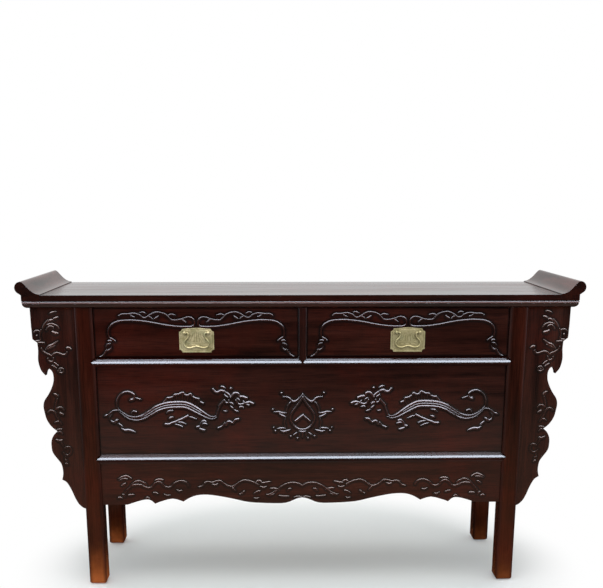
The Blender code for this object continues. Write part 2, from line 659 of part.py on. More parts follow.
def wing(name, side, way, face):
    shape = outline_of(WING_RUNS, WING_REACH, WING_DROP)
    root = LEG_OUT + FIT
    top = UNDER - FIT
    outline = [(way * (root + u), top + d) for u, d in shape] + [(way * root, top)]
    outer = LEG_OUTER_Y - WING_SETBACK
    y = sorted((face * outer, face * (outer - WING_THICKNESS)))
    board = slab(f"wing_{name}_{side}", outline, "Y", *y, lacquer)
    middle = sum(y) / 2
    let_in(board, [f"leg_{name}_{side}"],
           (way * (LEG_OUT - WING_TONGUE_DEPTH), middle - TONGUE / 2, top - WING_DROP + WING_TONGUE_INSET),
           (way * (root + ROOT), middle + TONGUE / 2, top - WING_TONGUE_INSET))


# Drawers and pulls

def ride_on(carrier, names):
    for name in names:
        pieces[name].parent = carrier
        pieces[name].location -= carrier.matrix_world.translation


def carrier_at(name, place, parent=None):
    empty = bpy.data.objects.new(name, None)
    empty.empty_display_size = 0.05
    parts.objects.link(empty)
    empty.parent = parent
    empty.location = place - (parent.matrix_world.translation if parent else Vector())
    bpy.context.view_layer.update()
    return empty


def drawer(side, way):
    name = f"drawer_{side}"
    middle = way * (LEG_IN + DIVIDER_WIDTH / 2) / 2
    half = (LEG_IN - DIVIDER_WIDTH / 2) / 2 - DRAWER_GAP
    face = -LEG_OUTER_Y + DRAWER_SETBACK
    inside = face + DRAWER_FRONT_THICKNESS
    end = BACK_RAIL_INNER - DRAWER_BACK_ROOM
    foot, head = MID_RAIL_TOP + FIT, UNDER - DRAWER_HEADROOM
    front = box(f"{name}_front", (middle - half, face, MID_RAIL_TOP + DRAWER_GAP),
                (middle + half, inside, UNDER - DRAWER_GAP), lacquer)
    for hand, turn in SIDES:
        outer = middle + turn * half
        inner = outer - turn * DRAWER_BOARD
        board = box(f"{name}_side_{hand}", (outer, inside + FIT, foot),
                    (inner, end, head), plain_wood)
        for z in (foot + TAIL_FOOT, head - TAIL_HEAD):
            root, tip = TAIL_ROOT / 2, TAIL_END / 2
            tail = [(inside + ROOT, z - root), (inside, z - root), (inside - TAIL_LENGTH, z - tip),
                    (inside - TAIL_LENGTH, z + tip), (inside, z + root), (inside + ROOT, z + root)]
            join(board, slab(board.name + "_tail", tail, "X", *sorted((outer, inner))))
            root, tip = root + 2 * FIT, tip + 2 * FIT
            deep = inside - TAIL_LENGTH - FIT
            socket = [(inside + OVERCUT, z - root), (inside, z - root), (deep, z - tip),
                      (deep, z + tip), (inside, z + root), (inside + OVERCUT, z + root)]
            cut(front, slab(front.name + "_socket", socket, "X",
                            *sorted((outer + turn * OVERCUT, inner - turn * FIT))))
    room = Vector((FIT, FIT, FIT))
    hosts = (front, pieces[f"{name}_side_left"], pieces[f"{name}_side_right"])
    floor = foot + DRAWER_BOTTOM_RAISE
    reach = half - DRAWER_BOARD + DRAWER_BOTTOM_GROOVE - FIT
    low = Vector((middle - reach, inside - DRAWER_BOTTOM_GROOVE + FIT, floor))
    high = Vector((middle + reach, end, floor + DRAWER_BOTTOM_THICKNESS))
    box(f"{name}_bottom", low, high, plain_wood)
    groove = box(f"{name}_bottom_groove", low - room, high + room + Vector((0.0, OVERCUT, 0.0)))
    for host in hosts:
        cut(host, groove)
    reach = half - DRAWER_BOARD + DRAWER_BACK_DADO - FIT
    low = Vector((middle - reach, end - DRAWER_BACK_INSET - DRAWER_BOARD, high[2] + FIT))
    high = Vector((middle + reach, end - DRAWER_BACK_INSET, head - DRAWER_BACK_DROP))
    box(f"{name}_back", low, high, plain_wood)
    dado = box(f"{name}_back_dado", low - room - Vector((0.0, 0.0, FIT)),
               high + room + Vector((0.0, 0.0, DRAWER_BACK_DROP + OVERCUT)))
    for host in hosts[1:]:
        cut(host, dado)
    slide = carrier_at(f"{name}_slide", Vector((middle, face, foot)))
    pull(side, middle, face, slide)
    ride_on(slide, [f"{name}_front", f"{name}_side_left", f"{name}_side_right", f"{name}_bottom",
                    f"{name}_back"])


def plate_outline():
    wide, high = PLATE_WIDTH / 2, PLATE_HEIGHT / 2
    line = arc((wide, -high), PLATE_NOTCH, 180, 90, ROUND_STEPS)
    line += arc((wide, high), PLATE_NOTCH, 270, 180, ROUND_STEPS)
    span = wide - PLATE_NOTCH
    for i in range(1, 2 * ROUND_STEPS):
        x = span * (1 - i / ROUND_STEPS)
        line.append((x, high + PLATE_ARCH * math.cos(math.pi / 2 * x / span) ** 2))
    line += arc((-wide, high), PLATE_NOTCH, 360, 270, ROUND_STEPS)
    line += arc((-wide, -high), PLATE_NOTCH, 90, 0, ROUND_STEPS)
    return line


def post_profile():
    # Radius and distance out from the plate, down the outer side from the dome to the clinched end
    crown = FIT + POST_HEAD_LENGTH
    back = -(PLATE_THICKNESS + DRAWER_FRONT_THICKNESS + 2 * FIT)
    line = []
    for i in range(ROUND_STEPS + 1):
        turn = math.pi / 2 * i / ROUND_STEPS
        line.append((POST_HEAD_RADIUS * math.sin(turn), crown - POST_DOME * (1 - math.cos(turn))))
    line += [(POST_HEAD_RADIUS, FIT), (POST_SHANK_RADIUS, FIT), (POST_SHANK_RADIUS, back)]
    return line + [(POST_CLINCH_RADIUS, back), (POST_CLINCH_RADIUS, back - POST_CLINCH_LENGTH),
                   (0.0, back - POST_CLINCH_LENGTH)]


def pull_post(name, place):
    bm = bmesh.new()
    ring = [bm.verts.new((radius, 0.0, out)) for radius, out in post_profile()]
    for a, b in zip(ring, ring[1:]):
        bm.edges.new((a, b))
    mesh = bpy.data.meshes.new(name)
    bm.to_mesh(mesh)
    bm.free()
    post = link(name, mesh, place, brass)
    post.rotation_euler = (math.pi / 2, 0.0, 0.0)
    screw = post.modifiers.new("turned", "SCREW")
    screw.steps = 3 * ROUND_STEPS
    screw.render_steps = screw.steps
    screw.use_merge_vertices = True
    screw.merge_threshold = 0.00001
    return post


def bail_path():
    # From the end of one pin, down round the two lobes, to the end of the other
    inner = POST_SPACING / 2 - POST_HEAD_RADIUS
    pin_end = inner + BAIL_PIN_DEPTH
    neck = inner - BAIL_WIRE
    half = [(neck, -BAIL_WIRE / 2)] + [(x * BAIL_REACH, -z * BAIL_DROP) for x, z in BAIL_SHAPE]
    curve = smooth_run(half, CURVE_STEPS)
    half = [(pin_end, 0.0), (inner - BAIL_WIRE / 4, 0.0), (inner - BAIL_WIRE * 0.7, -BAIL_WIRE / 8)] + curve
    return half + [(-x, z) for x, z in reversed(half[:-1])]


def pull(side, middle, face, slide):
    drawer_middle = (MID_RAIL_TOP + UNDER) / 2
    z = drawer_middle - PLATE_DROP
    back = face - FIT
    front = back - PLATE_THICKNESS
    outline = [(middle + u, z + v) for u, v in plate_outline()]
    plate = slab(f"pull_plate_{side}", outline, "Y", front, back, brass)
    axis = Vector((middle, front - PIVOT_STANDOFF, z + POST_RAISE))
    pin_end = POST_SPACING / 2 - POST_HEAD_RADIUS + BAIL_PIN_DEPTH
    names = [plate.name]
    for hand, turn in SIDES:
        x = middle + turn * POST_SPACING / 2
        post = pull_post(f"pull_post_{side}_{hand}", (x, front, axis.z))
        names.append(post.name)
        hole = rod(post.name + "_hole", (x, front - OVERCUT, axis.z),
                   (x, face + DRAWER_FRONT_THICKNESS + OVERCUT, axis.z), POST_SHANK_RADIUS + FIT)
        cut(plate, hole)
        cut(pieces[f"drawer_{side}_front"], hole)
        bore = rod(post.name + "_bore", (middle, axis.y, axis.z),
                   (middle + turn * (pin_end + PIVOT_CLEARANCE), axis.y, axis.z), BAIL_PIN / 2 + PIVOT_CLEARANCE)
        cut(post, bore)
    pivot = carrier_at(f"pull_{side}_pivot", axis, slide)
    curve = bpy.data.curves.new(f"pull_bail_{side}", "CURVE")
    curve.dimensions = "3D"
    curve.bevel_depth = BAIL_WIRE / 2
    curve.bevel_resolution = 2
    curve.use_fill_caps = True
    path = bail_path()
    spline = curve.splines.new("POLY")
    spline.points.add(len(path) - 1)
    for i, (point, (x, down)) in enumerate(zip(spline.points, path)):
        point.co = (x, 0.0, down, 1.0)
        point.radius = BAIL_PIN / BAIL_WIRE if i in (0, 1, len(path) - 2, len(path) - 1) else 1.0
    link(curve.name, curve, axis, brass)
    ride_on(pivot, [curve.name])
    ride_on(slide, names)


def smooth_round_pieces():
    for name, piece in pieces.items():
        if piece.type == "MESH" and name.startswith(("leg", "top", "pull_post")):
            piece.data.shade_smooth()
            piece.data.set_sharp_from_angle(angle=math.radians(35))


for side, way in SIDES:
    top_end(side, way)
top_rail("top_front_rail", -1)
top_rail("top_back_rail", 1)
top_panel()
for name, place in (("left", -BATTEN_SPACING), ("center", 0.0), ("right", BATTEN_SPACING)):
    top_batten(f"top_batten_{name}", place)
for side, way in SIDES:
    leg(f"leg_front_{side}", way, -1)
    leg(f"leg_rear_{side}", way, 1)
front_rail("front_mid_rail", MID_RAIL_TOP)
front_rail("front_lower_rail", LOWER_RAIL_TOP)
back_rails()
for side, way in SIDES:
    side_rails(side, way)
drawer_divider()
front_panel()
carcass_panels()
front_apron()
compartment_floor()
runners()
for side, way in SIDES:
    wing("front", side, way, -1)
    wing("rear", side, way, 1)
for side, way in SIDES:
    drawer(side, way)
smooth_round_pieces()
print("pieces:", len(pieces))
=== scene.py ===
import json
import math

import bmesh
import bpy
import numpy as np
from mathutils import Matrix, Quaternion, Vector
from mathutils.geometry import delaunay_2d_cdt
from mathutils.kdtree import KDTree

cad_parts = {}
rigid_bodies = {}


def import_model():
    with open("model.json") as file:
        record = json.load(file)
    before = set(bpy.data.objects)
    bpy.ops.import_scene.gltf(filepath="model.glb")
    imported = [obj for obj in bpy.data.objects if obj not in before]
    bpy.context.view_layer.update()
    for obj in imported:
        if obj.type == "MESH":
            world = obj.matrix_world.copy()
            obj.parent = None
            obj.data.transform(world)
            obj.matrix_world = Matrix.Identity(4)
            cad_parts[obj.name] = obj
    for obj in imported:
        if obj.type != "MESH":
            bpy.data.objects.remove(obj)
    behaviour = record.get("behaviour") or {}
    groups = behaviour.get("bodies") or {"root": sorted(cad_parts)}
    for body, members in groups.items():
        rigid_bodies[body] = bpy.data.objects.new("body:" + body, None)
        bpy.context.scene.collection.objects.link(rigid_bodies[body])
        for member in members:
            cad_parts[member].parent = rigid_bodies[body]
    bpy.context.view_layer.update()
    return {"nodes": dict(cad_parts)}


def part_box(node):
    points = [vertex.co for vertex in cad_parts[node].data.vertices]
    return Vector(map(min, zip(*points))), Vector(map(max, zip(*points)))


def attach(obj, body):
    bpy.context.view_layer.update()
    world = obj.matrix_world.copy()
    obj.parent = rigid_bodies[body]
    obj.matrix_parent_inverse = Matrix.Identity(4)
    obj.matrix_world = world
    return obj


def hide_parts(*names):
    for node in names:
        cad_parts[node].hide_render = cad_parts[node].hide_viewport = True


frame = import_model()
scene = bpy.context.scene
scene.view_settings.view_transform = "Standard"
mm = 0.001
sides = (("left", -1), ("right", 1))
print("frame loaded:", len(frame["nodes"]), "nodes")

# Camera, fitted to the corners of the top, legs and rails
camera = {"place": (-0.0682, -2.5486, 1.1122), "yaw": 1.579, "pitch": 13.44, "roll": 0.08,
          "lens": 51.51, "shiftY": 0.1823}


def makeCamera():
    data = bpy.data.cameras.new("camera")
    data.lens = camera["lens"]
    data.shift_y = camera["shiftY"]
    eye = bpy.data.objects.new("camera", data)
    scene.collection.objects.link(eye)
    yaw, pitch = math.radians(camera["yaw"]), math.radians(camera["pitch"])
    level = math.cos(pitch)
    ahead = Vector((math.sin(yaw) * level, math.cos(yaw) * level, -math.sin(pitch)))
    eye.rotation_mode = "QUATERNION"
    roll = Quaternion((0, 0, 1), math.radians(camera["roll"]))
    eye.rotation_quaternion = ahead.to_track_quat("-Z", "Y") @ roll
    eye.location = camera["place"]
    scene.camera = eye


makeCamera()
print("camera set")


# Node helpers
def newMaterial(name):
    made = bpy.data.materials.new(name)
    made.use_nodes = True
    tree = made.node_tree
    coords = tree.nodes.new("ShaderNodeTexCoord").outputs["Object"]
    return made, tree, tree.nodes["Principled BSDF"], coords


def addNode(tree, kind, inputs=None, **settings):
    made = tree.nodes.new(kind)
    for key, value in settings.items():
        setattr(made, key, value)
    for key, value in (inputs or {}).items():
        if isinstance(value, bpy.types.NodeSocket):
            tree.links.new(value, made.inputs[key])
        else:
            made.inputs[key].default_value = value
    return made


def noise(tree, coords, scale, detail=3.0, roughness=0.55, distortion=0.0):
    made = addNode(tree, "ShaderNodeTexNoise", {"Vector": coords, "Scale": scale, "Detail": detail,
                                                "Roughness": roughness, "Distortion": distortion})
    return made.outputs["Fac"]


def stretched(tree, coords, scale):
    return addNode(tree, "ShaderNodeMapping", {"Vector": coords, "Scale": scale}).outputs["Vector"]


def ramp(tree, factor, *stops):
    made = addNode(tree, "ShaderNodeValToRGB", {"Fac": factor})
    band = made.color_ramp
    while len(band.elements) < len(stops):
        band.elements.new(0.5)
    for element, (place, color) in zip(band.elements, stops):
        element.position = place
        element.color = (*color, 1.0)
    return made.outputs["Color"]


def remap(tree, value, low, high, toLow=0.0, toHigh=1.0):
    made = addNode(tree, "ShaderNodeMapRange", {"Value": value, "From Min": low, "From Max": high,
                                                "To Min": toLow, "To Max": toHigh})
    return made.outputs["Result"]


def mixColor(tree, factor, a, b, blend="MIX"):
    toward = (*b, 1.0) if isinstance(b, tuple) else b
    made = addNode(tree, "ShaderNodeMix", {0: factor, 6: a, 7: toward}, data_type="RGBA", blend_type=blend)
    return made.outputs[2]


def math2(tree, operation, a, b):
    made = addNode(tree, "ShaderNodeMath", {0: a, 1: b}, operation=operation)
    return made.outputs[0]


def gapTo(tree, value, middle):
    return math2(tree, "ABSOLUTE", math2(tree, "SUBTRACT", value, middle), 0.0)


def axesOf(tree, vector):
    return addNode(tree, "ShaderNodeSeparateXYZ", {"Vector": vector}).outputs


# Attribute stored on carved boards: painted shade and dirt on the wood, dirt in the brass's engraved lines
def soilAndShadeOf(tree):
    return addNode(tree, "ShaderNodeAttribute", attribute_name="soil").outputs["Fac"]


def grain(tree, coords, along, lengthwise, across, *character):
    scale = tuple(lengthwise if axis == along else across for axis in "XYZ")
    return noise(tree, stretched(tree, coords, scale), 1.0, *character)


def joinShader(tree, shader, look, color, gloss, fine, broad):
    relief = addNode(tree, "ShaderNodeBump", {"Height": math2(tree, "ADD", fine, broad),
                                              "Strength": look["bump"], "Distance": look["bumpDepth"]})
    for socket, value in (("Base Color", color), ("Roughness", gloss), ("Normal", relief.outputs["Normal"])):
        tree.links.new(value, shader.inputs[socket])


# Lacquered wood, one material for each way the grain runs. A noise is scale, detail, roughness, distortion,
# with a scale along and one across where it follows the grain. Four numbers map one range to another.
lacquer = {
    "tones": ((0.30, (0.010, 0.0030, 0.0022)), (0.50, (0.026, 0.0056, 0.0030)),
              (0.74, (0.050, 0.0100, 0.0046))),
    "poreTones": ((0.36, (0.55, 0.5, 0.5)), (0.52, (1.0, 1.0, 1.0))),
    # The last colour on the next line paints shade into the carving's hollows and around its strokes, partly
    # as dirt; polished pieces darken toward it too
    "redPatch": (0.058, 0.0068, 0.0030), "worn": (0.16, 0.075, 0.050), "dirtAndShade": (0.004, 0.0018, 0.0014),
    "figure": (2.4, 30.0, 6.0, 0.62, 0.5), "pore": (14.0, 520.0, 2.0, 0.5), "patch": (4.2, 4.0, 0.6, 0.3),
    "redness": (0.46, 0.72, 0.0, 0.75), "crest": (0.51, 0.60, 0.0, 0.12), "hollow": (0.495, 0.465, 0.0, 0.95),
    "glossOver": (0.25, 0.75), "roughness": (0.14, 0.24), "polish": 0.15, "polishDark": 0.35,
    "tint": (1.0, 0.88, 0.75), "legTint": (1.0, 0.70, 0.52), "carvedTint": (1.0, 0.80, 0.68),
    "specular": 0.18, "bump": 0.02, "bumpDepth": 0.0006,
}
# Legs: lacquer worn off the feet, but little at their corners
legWear = {"color": (0.42, 0.105, 0.022), "dull": 0.35, "fall": 1.9, "fade": (0.55, 0.15, 0.0, 0.035),
           "corner": (0.014, 0.024), "cornerWear": 0.12, "cornerDull": 0.22,
           "noise": (38.0, 4.0), "uneven": (0.3, 0.7, -0.014, 0.014)}


def lacqueredWood(name, along, carved=False, foot=None, polished=False, rubbedAndHighlight=None, upPatches=None, dull=0.0,
                  sheen=1.0):
    made, tree, shader, coords = newMaterial(name)
    figure = grain(tree, coords, along, *lacquer["figure"])
    pore = grain(tree, coords, along, *lacquer["pore"])
    color = ramp(tree, figure, *lacquer["tones"])
    redness = remap(tree, noise(tree, coords, *lacquer["patch"]), *lacquer["redness"])
    color = mixColor(tree, redness, color, lacquer["redPatch"])
    color = mixColor(tree, 1.0, color, ramp(tree, pore, *lacquer["poreTones"]), "MULTIPLY")
    if polished:
        color = mixColor(tree, lacquer["polishDark"], color, lacquer["dirtAndShade"])
    gloss = remap(tree, figure, *lacquer["glossOver"], *(rough + dull for rough in lacquer["roughness"]))
    # A lighter line along the top's bead: rubbed wear and a painted highlight
    if rubbedAndHighlight:
        off = gapTo(tree, axesOf(tree, coords)["Z"], rubbedAndHighlight["middle"])
        line = remap(tree, off, rubbedAndHighlight["half"], 0.0, 0.0, rubbedAndHighlight["wear"])
        color = mixColor(tree, line, color, rubbedAndHighlight["color"])
    # Reddish patches where a face turns upward
    if upPatches:
        facing = addNode(tree, "ShaderNodeNewGeometry").outputs["Normal"]
        upward = remap(tree, axesOf(tree, facing)["Z"], *upPatches["rise"])
        cloud = noise(tree, stretched(tree, coords, upPatches["scale"]), *upPatches["noise"])
        share = math2(tree, "MULTIPLY", upward, remap(tree, cloud, *upPatches["cloud"]))
        color = mixColor(tree, share, color, upPatches["color"])
    # Carved boards: crests lighter with wear; hollows darker with painted shade, partly dirt; the stored
    # attribute adds painted shade and dirt around the strokes
    if carved:
        crest = addNode(tree, "ShaderNodeNewGeometry").outputs["Pointiness"]
        color = mixColor(tree, remap(tree, crest, *lacquer["crest"]), color, lacquer["worn"])
        color = mixColor(tree, remap(tree, crest, *lacquer["hollow"]), color, lacquer["dirtAndShade"])
        color = mixColor(tree, soilAndShadeOf(tree), color, lacquer["dirtAndShade"])
    if foot:
        place = axesOf(tree, coords)
        beside = [gapTo(tree, place[axis], middle) for axis, middle in zip("XY", foot["middle"])]
        corner = remap(tree, math2(tree, "MINIMUM", *beside), *legWear["corner"])
        uneven = remap(tree, noise(tree, coords, *legWear["noise"]), *legWear["uneven"])
        fade = remap(tree, math2(tree, "ADD", place["Z"], uneven), foot["height"], 0.0)
        bare = math2(tree, "MULTIPLY", math2(tree, "POWER", fade, legWear["fall"]), foot["wear"])
        bare = math2(tree, "ADD", bare, remap(tree, place["Z"], *legWear["fade"]))
        bare = math2(tree, "MULTIPLY", bare, remap(tree, corner, 0.0, 1.0, 1.0, legWear["cornerWear"]))
        color = mixColor(tree, bare, color, legWear["color"])
        gloss = math2(tree, "ADD", gloss, math2(tree, "MULTIPLY", bare, legWear["dull"]))
        gloss = math2(tree, "ADD", gloss, math2(tree, "MULTIPLY", corner, legWear["cornerDull"]))
    shader.inputs["Specular IOR Level"].default_value = lacquer["specular"] * sheen
    tint = lacquer["legTint" if foot or dull else "carvedTint" if carved else "tint"]
    shader.inputs["Specular Tint"].default_value = (*tint, 1.0)
    if polished:
        tree.links.new(color, shader.inputs["Base Color"])
        shader.inputs["Roughness"].default_value = lacquer["polish"]
        if rubbedAndHighlight:
            gloss = remap(tree, line, 0.0, 1.0, lacquer["polish"], lacquer["polish"] + rubbedAndHighlight["dull"])
            tree.links.new(gloss, shader.inputs["Roughness"])
        return made
    joinShader(tree, shader, lacquer, color, gloss, pore, figure)
    return made


# Unlacquered wood of the drawers' insides, the back and the floor
plainWood = {"tones": ((0.32, (0.155, 0.078, 0.036)), (0.68, (0.30, 0.165, 0.080))),
             "fibreTones": ((0.35, (0.6, 0.6, 0.6)), (0.55, (1.0, 1.0, 1.0))), "stain": (0.07, 0.036, 0.018),
             "figure": (2.0, 34.0, 6.0, 0.65, 0.9), "fibre": (9.0, 420.0, 3.0), "patch": (5.0, 4.0),
             "stained": (0.5, 0.75, 0.0, 0.55), "roughness": (0.3, 0.7, 0.50, 0.70), "specular": 0.25,
             "bump": 0.18, "bumpDepth": 0.0008}


def bareTimber(name, along):
    made, tree, shader, coords = newMaterial(name)
    figure = grain(tree, coords, along, *plainWood["figure"])
    fibre = grain(tree, coords, along, *plainWood["fibre"])
    color = ramp(tree, figure, *plainWood["tones"])
    stained = remap(tree, noise(tree, coords, *plainWood["patch"]), *plainWood["stained"])
    color = mixColor(tree, stained, color, plainWood["stain"])
    color = mixColor(tree, 1.0, color, ramp(tree, fibre, *plainWood["fibreTones"]), "MULTIPLY")
    gloss = remap(tree, figure, *plainWood["roughness"])
    shader.inputs["Specular IOR Level"].default_value = plainWood["specular"]
    joinShader(tree, shader, plainWood, color, gloss, fibre, figure)
    return made


# Aged brass of the pulls, darker towards the right
brass = {"clean": (0.40, 0.35, 0.21), "tarnish": (0.21, 0.185, 0.095), "green": (0.24, 0.25, 0.15),
         "grime": (0.08, 0.07, 0.035), "cleanOver": (0.36, 0.60), "cloud": (60.0, 5.0, 0.6, 0.4),
         "speck": (420.0, 3.0, 0.6), "patch": (35.0, 4.0), "greened": (0.5, 0.72, 0.0, 0.7),
         "specked": (0.60, 0.74, 0.0, 0.6), "rightDarker": (-0.25, 0.25, 0.0, 0.5), "soiled": 0.8,
         "roughness": (0.3, 0.7, 0.62, 0.48), "bump": 0.12, "bumpDepth": 0.0003}


def agedBrass(name, engraved=False):
    made, tree, shader, coords = newMaterial(name)
    cloud = noise(tree, coords, *brass["cloud"])
    speck = noise(tree, coords, *brass["speck"])
    color = ramp(tree, cloud, *zip(brass["cleanOver"], (brass["tarnish"], brass["clean"])))
    patch = noise(tree, coords, *brass["patch"])
    color = mixColor(tree, remap(tree, patch, *brass["greened"]), color, brass["green"])
    color = mixColor(tree, remap(tree, speck, *brass["specked"]), color, brass["grime"])
    rightward = remap(tree, axesOf(tree, coords)["X"], *brass["rightDarker"])
    color = mixColor(tree, rightward, color, brass["tarnish"])
    if engraved:
        color = mixColor(tree, math2(tree, "MULTIPLY", soilAndShadeOf(tree), brass["soiled"]), color, brass["grime"])
    shader.inputs["Metallic"].default_value = 1.0
    joinShader(tree, shader, brass, color, remap(tree, cloud, *brass["roughness"]), speck, cloud)
    return made


alongX, alongY, alongZ = (lacqueredWood(f"lacquerAlong{axis}", axis) for axis in "XYZ")
# Top's edge has a lighter line on its bead, rubbed wear with a painted highlight, and the raised ends get
# reddish patches where they face up
bead = {"middle": 0.8330, "half": 0.0021, "wear": 0.9, "color": (0.40, 0.225, 0.21), "dull": 0.65}
upFacingPatches = {"color": (0.075, 0.026, 0.022), "scale": (22.0, 5.0, 22.0), "noise": (1.0, 4.0, 0.6),
             "cloud": (0.42, 0.66), "rise": (0.2, 0.5)}
polishedX = lacqueredWood("lacquerPolished", "X", polished=True)
topX = lacqueredWood("lacquerTopX", "X", polished=True, rubbedAndHighlight=bead)
topY = lacqueredWood("lacquerTopY", "Y", polished=True, rubbedAndHighlight=bead, upPatches=upFacingPatches)
carvedX = lacqueredWood("carvedAlongX", "X", carved=True)
drawerX = lacqueredWood("carvedDrawer", "X", carved=True, sheen=0.72)
dullX, dullZ = (lacqueredWood(f"carvedDull{axis}", axis, carved=True, dull=0.05, sheen=0.85) for axis in "XZ")
timberX, timberY = (bareTimber(f"timberAlong{axis}", axis) for axis in "XY")
brassSmooth, brassEngraved = agedBrass("brassSmooth"), agedBrass("brassEngraved", engraved=True)
feet = {"leg_front_left": {"wear": 1.0, "height": 0.150},
        "leg_rear_left": {"wear": 0.85, "height": 0.095},
        "leg_front_right": {"wear": 0.30, "height": 0.110},
        "leg_rear_right": {"wear": 0.30, "height": 0.080}}
for name, foot in feet.items():
    foot["middle"] = [(a + b) / 2 for a, b in zip(*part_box(name))][:2]
legWood = {name: lacqueredWood("lacquer_" + name, "Z", foot=foot, sheen=0.36) for name, foot in feet.items()}
print("materials made:", len(bpy.data.materials))


# Finish of each node: the first start of a name that fits decides
finishes = (
    ("top_batten", timberY), ("top_left_end", topY), ("top_right_end", topY), ("top_panel", alongX),
    ("top_", topX), ("front_", polishedX), ("drawer_divider", alongZ), ("back_upper", timberX),
    ("back_lower_panel", timberX), ("back_", alongX), ("side_", alongY), ("compartment_floor", timberX),
    ("floor_batten", timberY), ("drawer_runner", timberY), ("wing_", alongZ), ("pull_", brassSmooth),
)
drawerFinishes = (("_front", alongX), ("_side_left", timberY), ("_side_right", timberY), ("_bottom", timberX),
                  ("_back", timberX))


def finishOf(name):
    if name in legWood:
        return legWood[name]
    for start, made in finishes:
        if name.startswith(start):
            return made
    return next(made for end, made in drawerFinishes if name.endswith(end))


def bodyOf(name):
    return frame["nodes"][name].parent.name.split(":")[1]


def solidOf(name):
    bm = bmesh.new()
    bm.from_mesh(frame["nodes"][name].data)
    bmesh.ops.remove_doubles(bm, verts=bm.verts, dist=plain["weld"])
    return bm


def standIn(name, bm, material):
    # Object made from a worked copy of a node, in the node's place
    mesh = bpy.data.meshes.new(name + "_dressed")
    bm.to_mesh(mesh)
    bm.free()
    mesh.materials.append(material)
    piece = bpy.data.objects.new(name + "_dressed", mesh)
    scene.collection.objects.link(piece)
    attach(piece, bodyOf(name))
    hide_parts(name)
    return piece


# Plain pieces: rounds shaded smooth, every arris eased, some corners planed off
plain = {"flatTurn": 0.5, "smoothTurn": 35.0, "ease": 0.7, "easeTurn": 50.0, "easeSteps": 2, "join": 0.002,
         "weld": 1e-6, "slack": 1e-7}


def cutOff(bm, place, outward):
    bmesh.ops.bisect_plane(bm, geom=bm.verts[:] + bm.edges[:] + bm.faces[:], plane_co=place, plane_no=outward,
                           clear_outer=True, dist=plain["slack"])


def mergeFlat(bm):
    turn = math.radians(plain["flatTurn"])
    bmesh.ops.dissolve_limit(bm, angle_limit=turn, verts=bm.verts[:], edges=bm.edges[:])


def openEdges(bm):
    return [e for e in bm.edges if e.is_boundary]


def dressed(name, cuts=()):
    bm = solidOf(name)
    for place, outward in cuts:
        cutOff(bm, place, outward)
        bmesh.ops.edgeloop_fill(bm, edges=openEdges(bm))
    mergeFlat(bm)
    bmesh.ops.recalc_face_normals(bm, faces=bm.faces)
    wood = finishOf(name)
    metal = wood.name.startswith("brass")
    for face in bm.faces:
        face.smooth = True
    for edge in bm.edges:
        turn = math.degrees(edge.calc_face_angle(0))
        edge.smooth = turn < plain["smoothTurn"] or (turn > plain["easeTurn"] and not metal)
    piece = standIn(name, bm, wood)
    if not metal:
        eased = piece.modifiers.new("eased", "BEVEL")
        eased.width = plain["ease"] * mm
        eased.segments = plain["easeSteps"]
        eased.limit_method = "ANGLE"
        eased.angle_limit = math.radians(plain["easeTurn"])
        piece.modifiers.new("joined", "WELD").merge_threshold = plain["join"] * mm
    even = piece.modifiers.new("even", "WEIGHTED_NORMAL")
    even.keep_sharp = True
    return piece


# Front rails: the upper arris planed back to a slope and rounded over, cut by cut
rails = {"cuts": 9, "front_mid_rail": {"slope": 46.0, "radius": 22.0, "setBack": 7.5, "drop": 6.8},
         "front_lower_rail": {"slope": 38.5, "radius": 24.0, "setBack": 10.0, "drop": 2.4}}


def railCuts(name):
    look = rails[name]
    face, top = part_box(name)[0][1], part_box(name)[1][2]
    steep, radius = math.radians(look["slope"]), look["radius"]
    reach = (look["setBack"] - radius * (1 - math.cos(steep))) / math.sin(steep)
    foot = look["drop"] + radius * math.sin(steep) + reach * math.cos(steep)
    made = []
    for i in range(rails["cuts"]):
        turn = steep * (1 - i / rails["cuts"])
        inward, down = radius * (1 - math.cos(turn)), foot - radius * math.sin(turn)
        made.append(((0, face + inward * mm, top - down * mm), (0, -math.cos(turn), math.sin(turn))))
    return made


# Legs: feet worn round
worn = {"radius": 0.014, "turns": (12, 28, 45, 62, 78)}


def footCuts(name):
    low, high = (Vector(corner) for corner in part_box(name))
    middle, half, radius = (low + high) / 2, (high - low) / 2, worn["radius"]
    made = []
    for way in (Vector((1, 0, 0)), Vector((-1, 0, 0)), Vector((0, 1, 0)), Vector((0, -1, 0))):
        corner = Vector((middle.x + way.x * (half.x - radius), middle.y + way.y * (half.y - radius),
                         low.z + radius))
        for turn in worn["turns"]:
            outward = way * math.cos(math.radians(turn)) - Vector((0, 0, math.sin(math.radians(turn))))
            made.append((corner + outward * radius, outward))
    return made


carvedNames = ["front_panel", "front_apron", "drawer_left_front", "drawer_right_front", "wing_front_left",
               "wing_front_right", "pull_plate_left", "pull_plate_right"]
for name, node in frame["nodes"].items():
    node.data.materials.clear()
    node.data.materials.append(finishOf(name))
    if name in carvedNames:
        continue
    if name.startswith("leg_"):
        dressed(name, footCuts(name))
    else:
        dressed(name, railCuts(name) if name in rails else ())
print("plain pieces dressed")


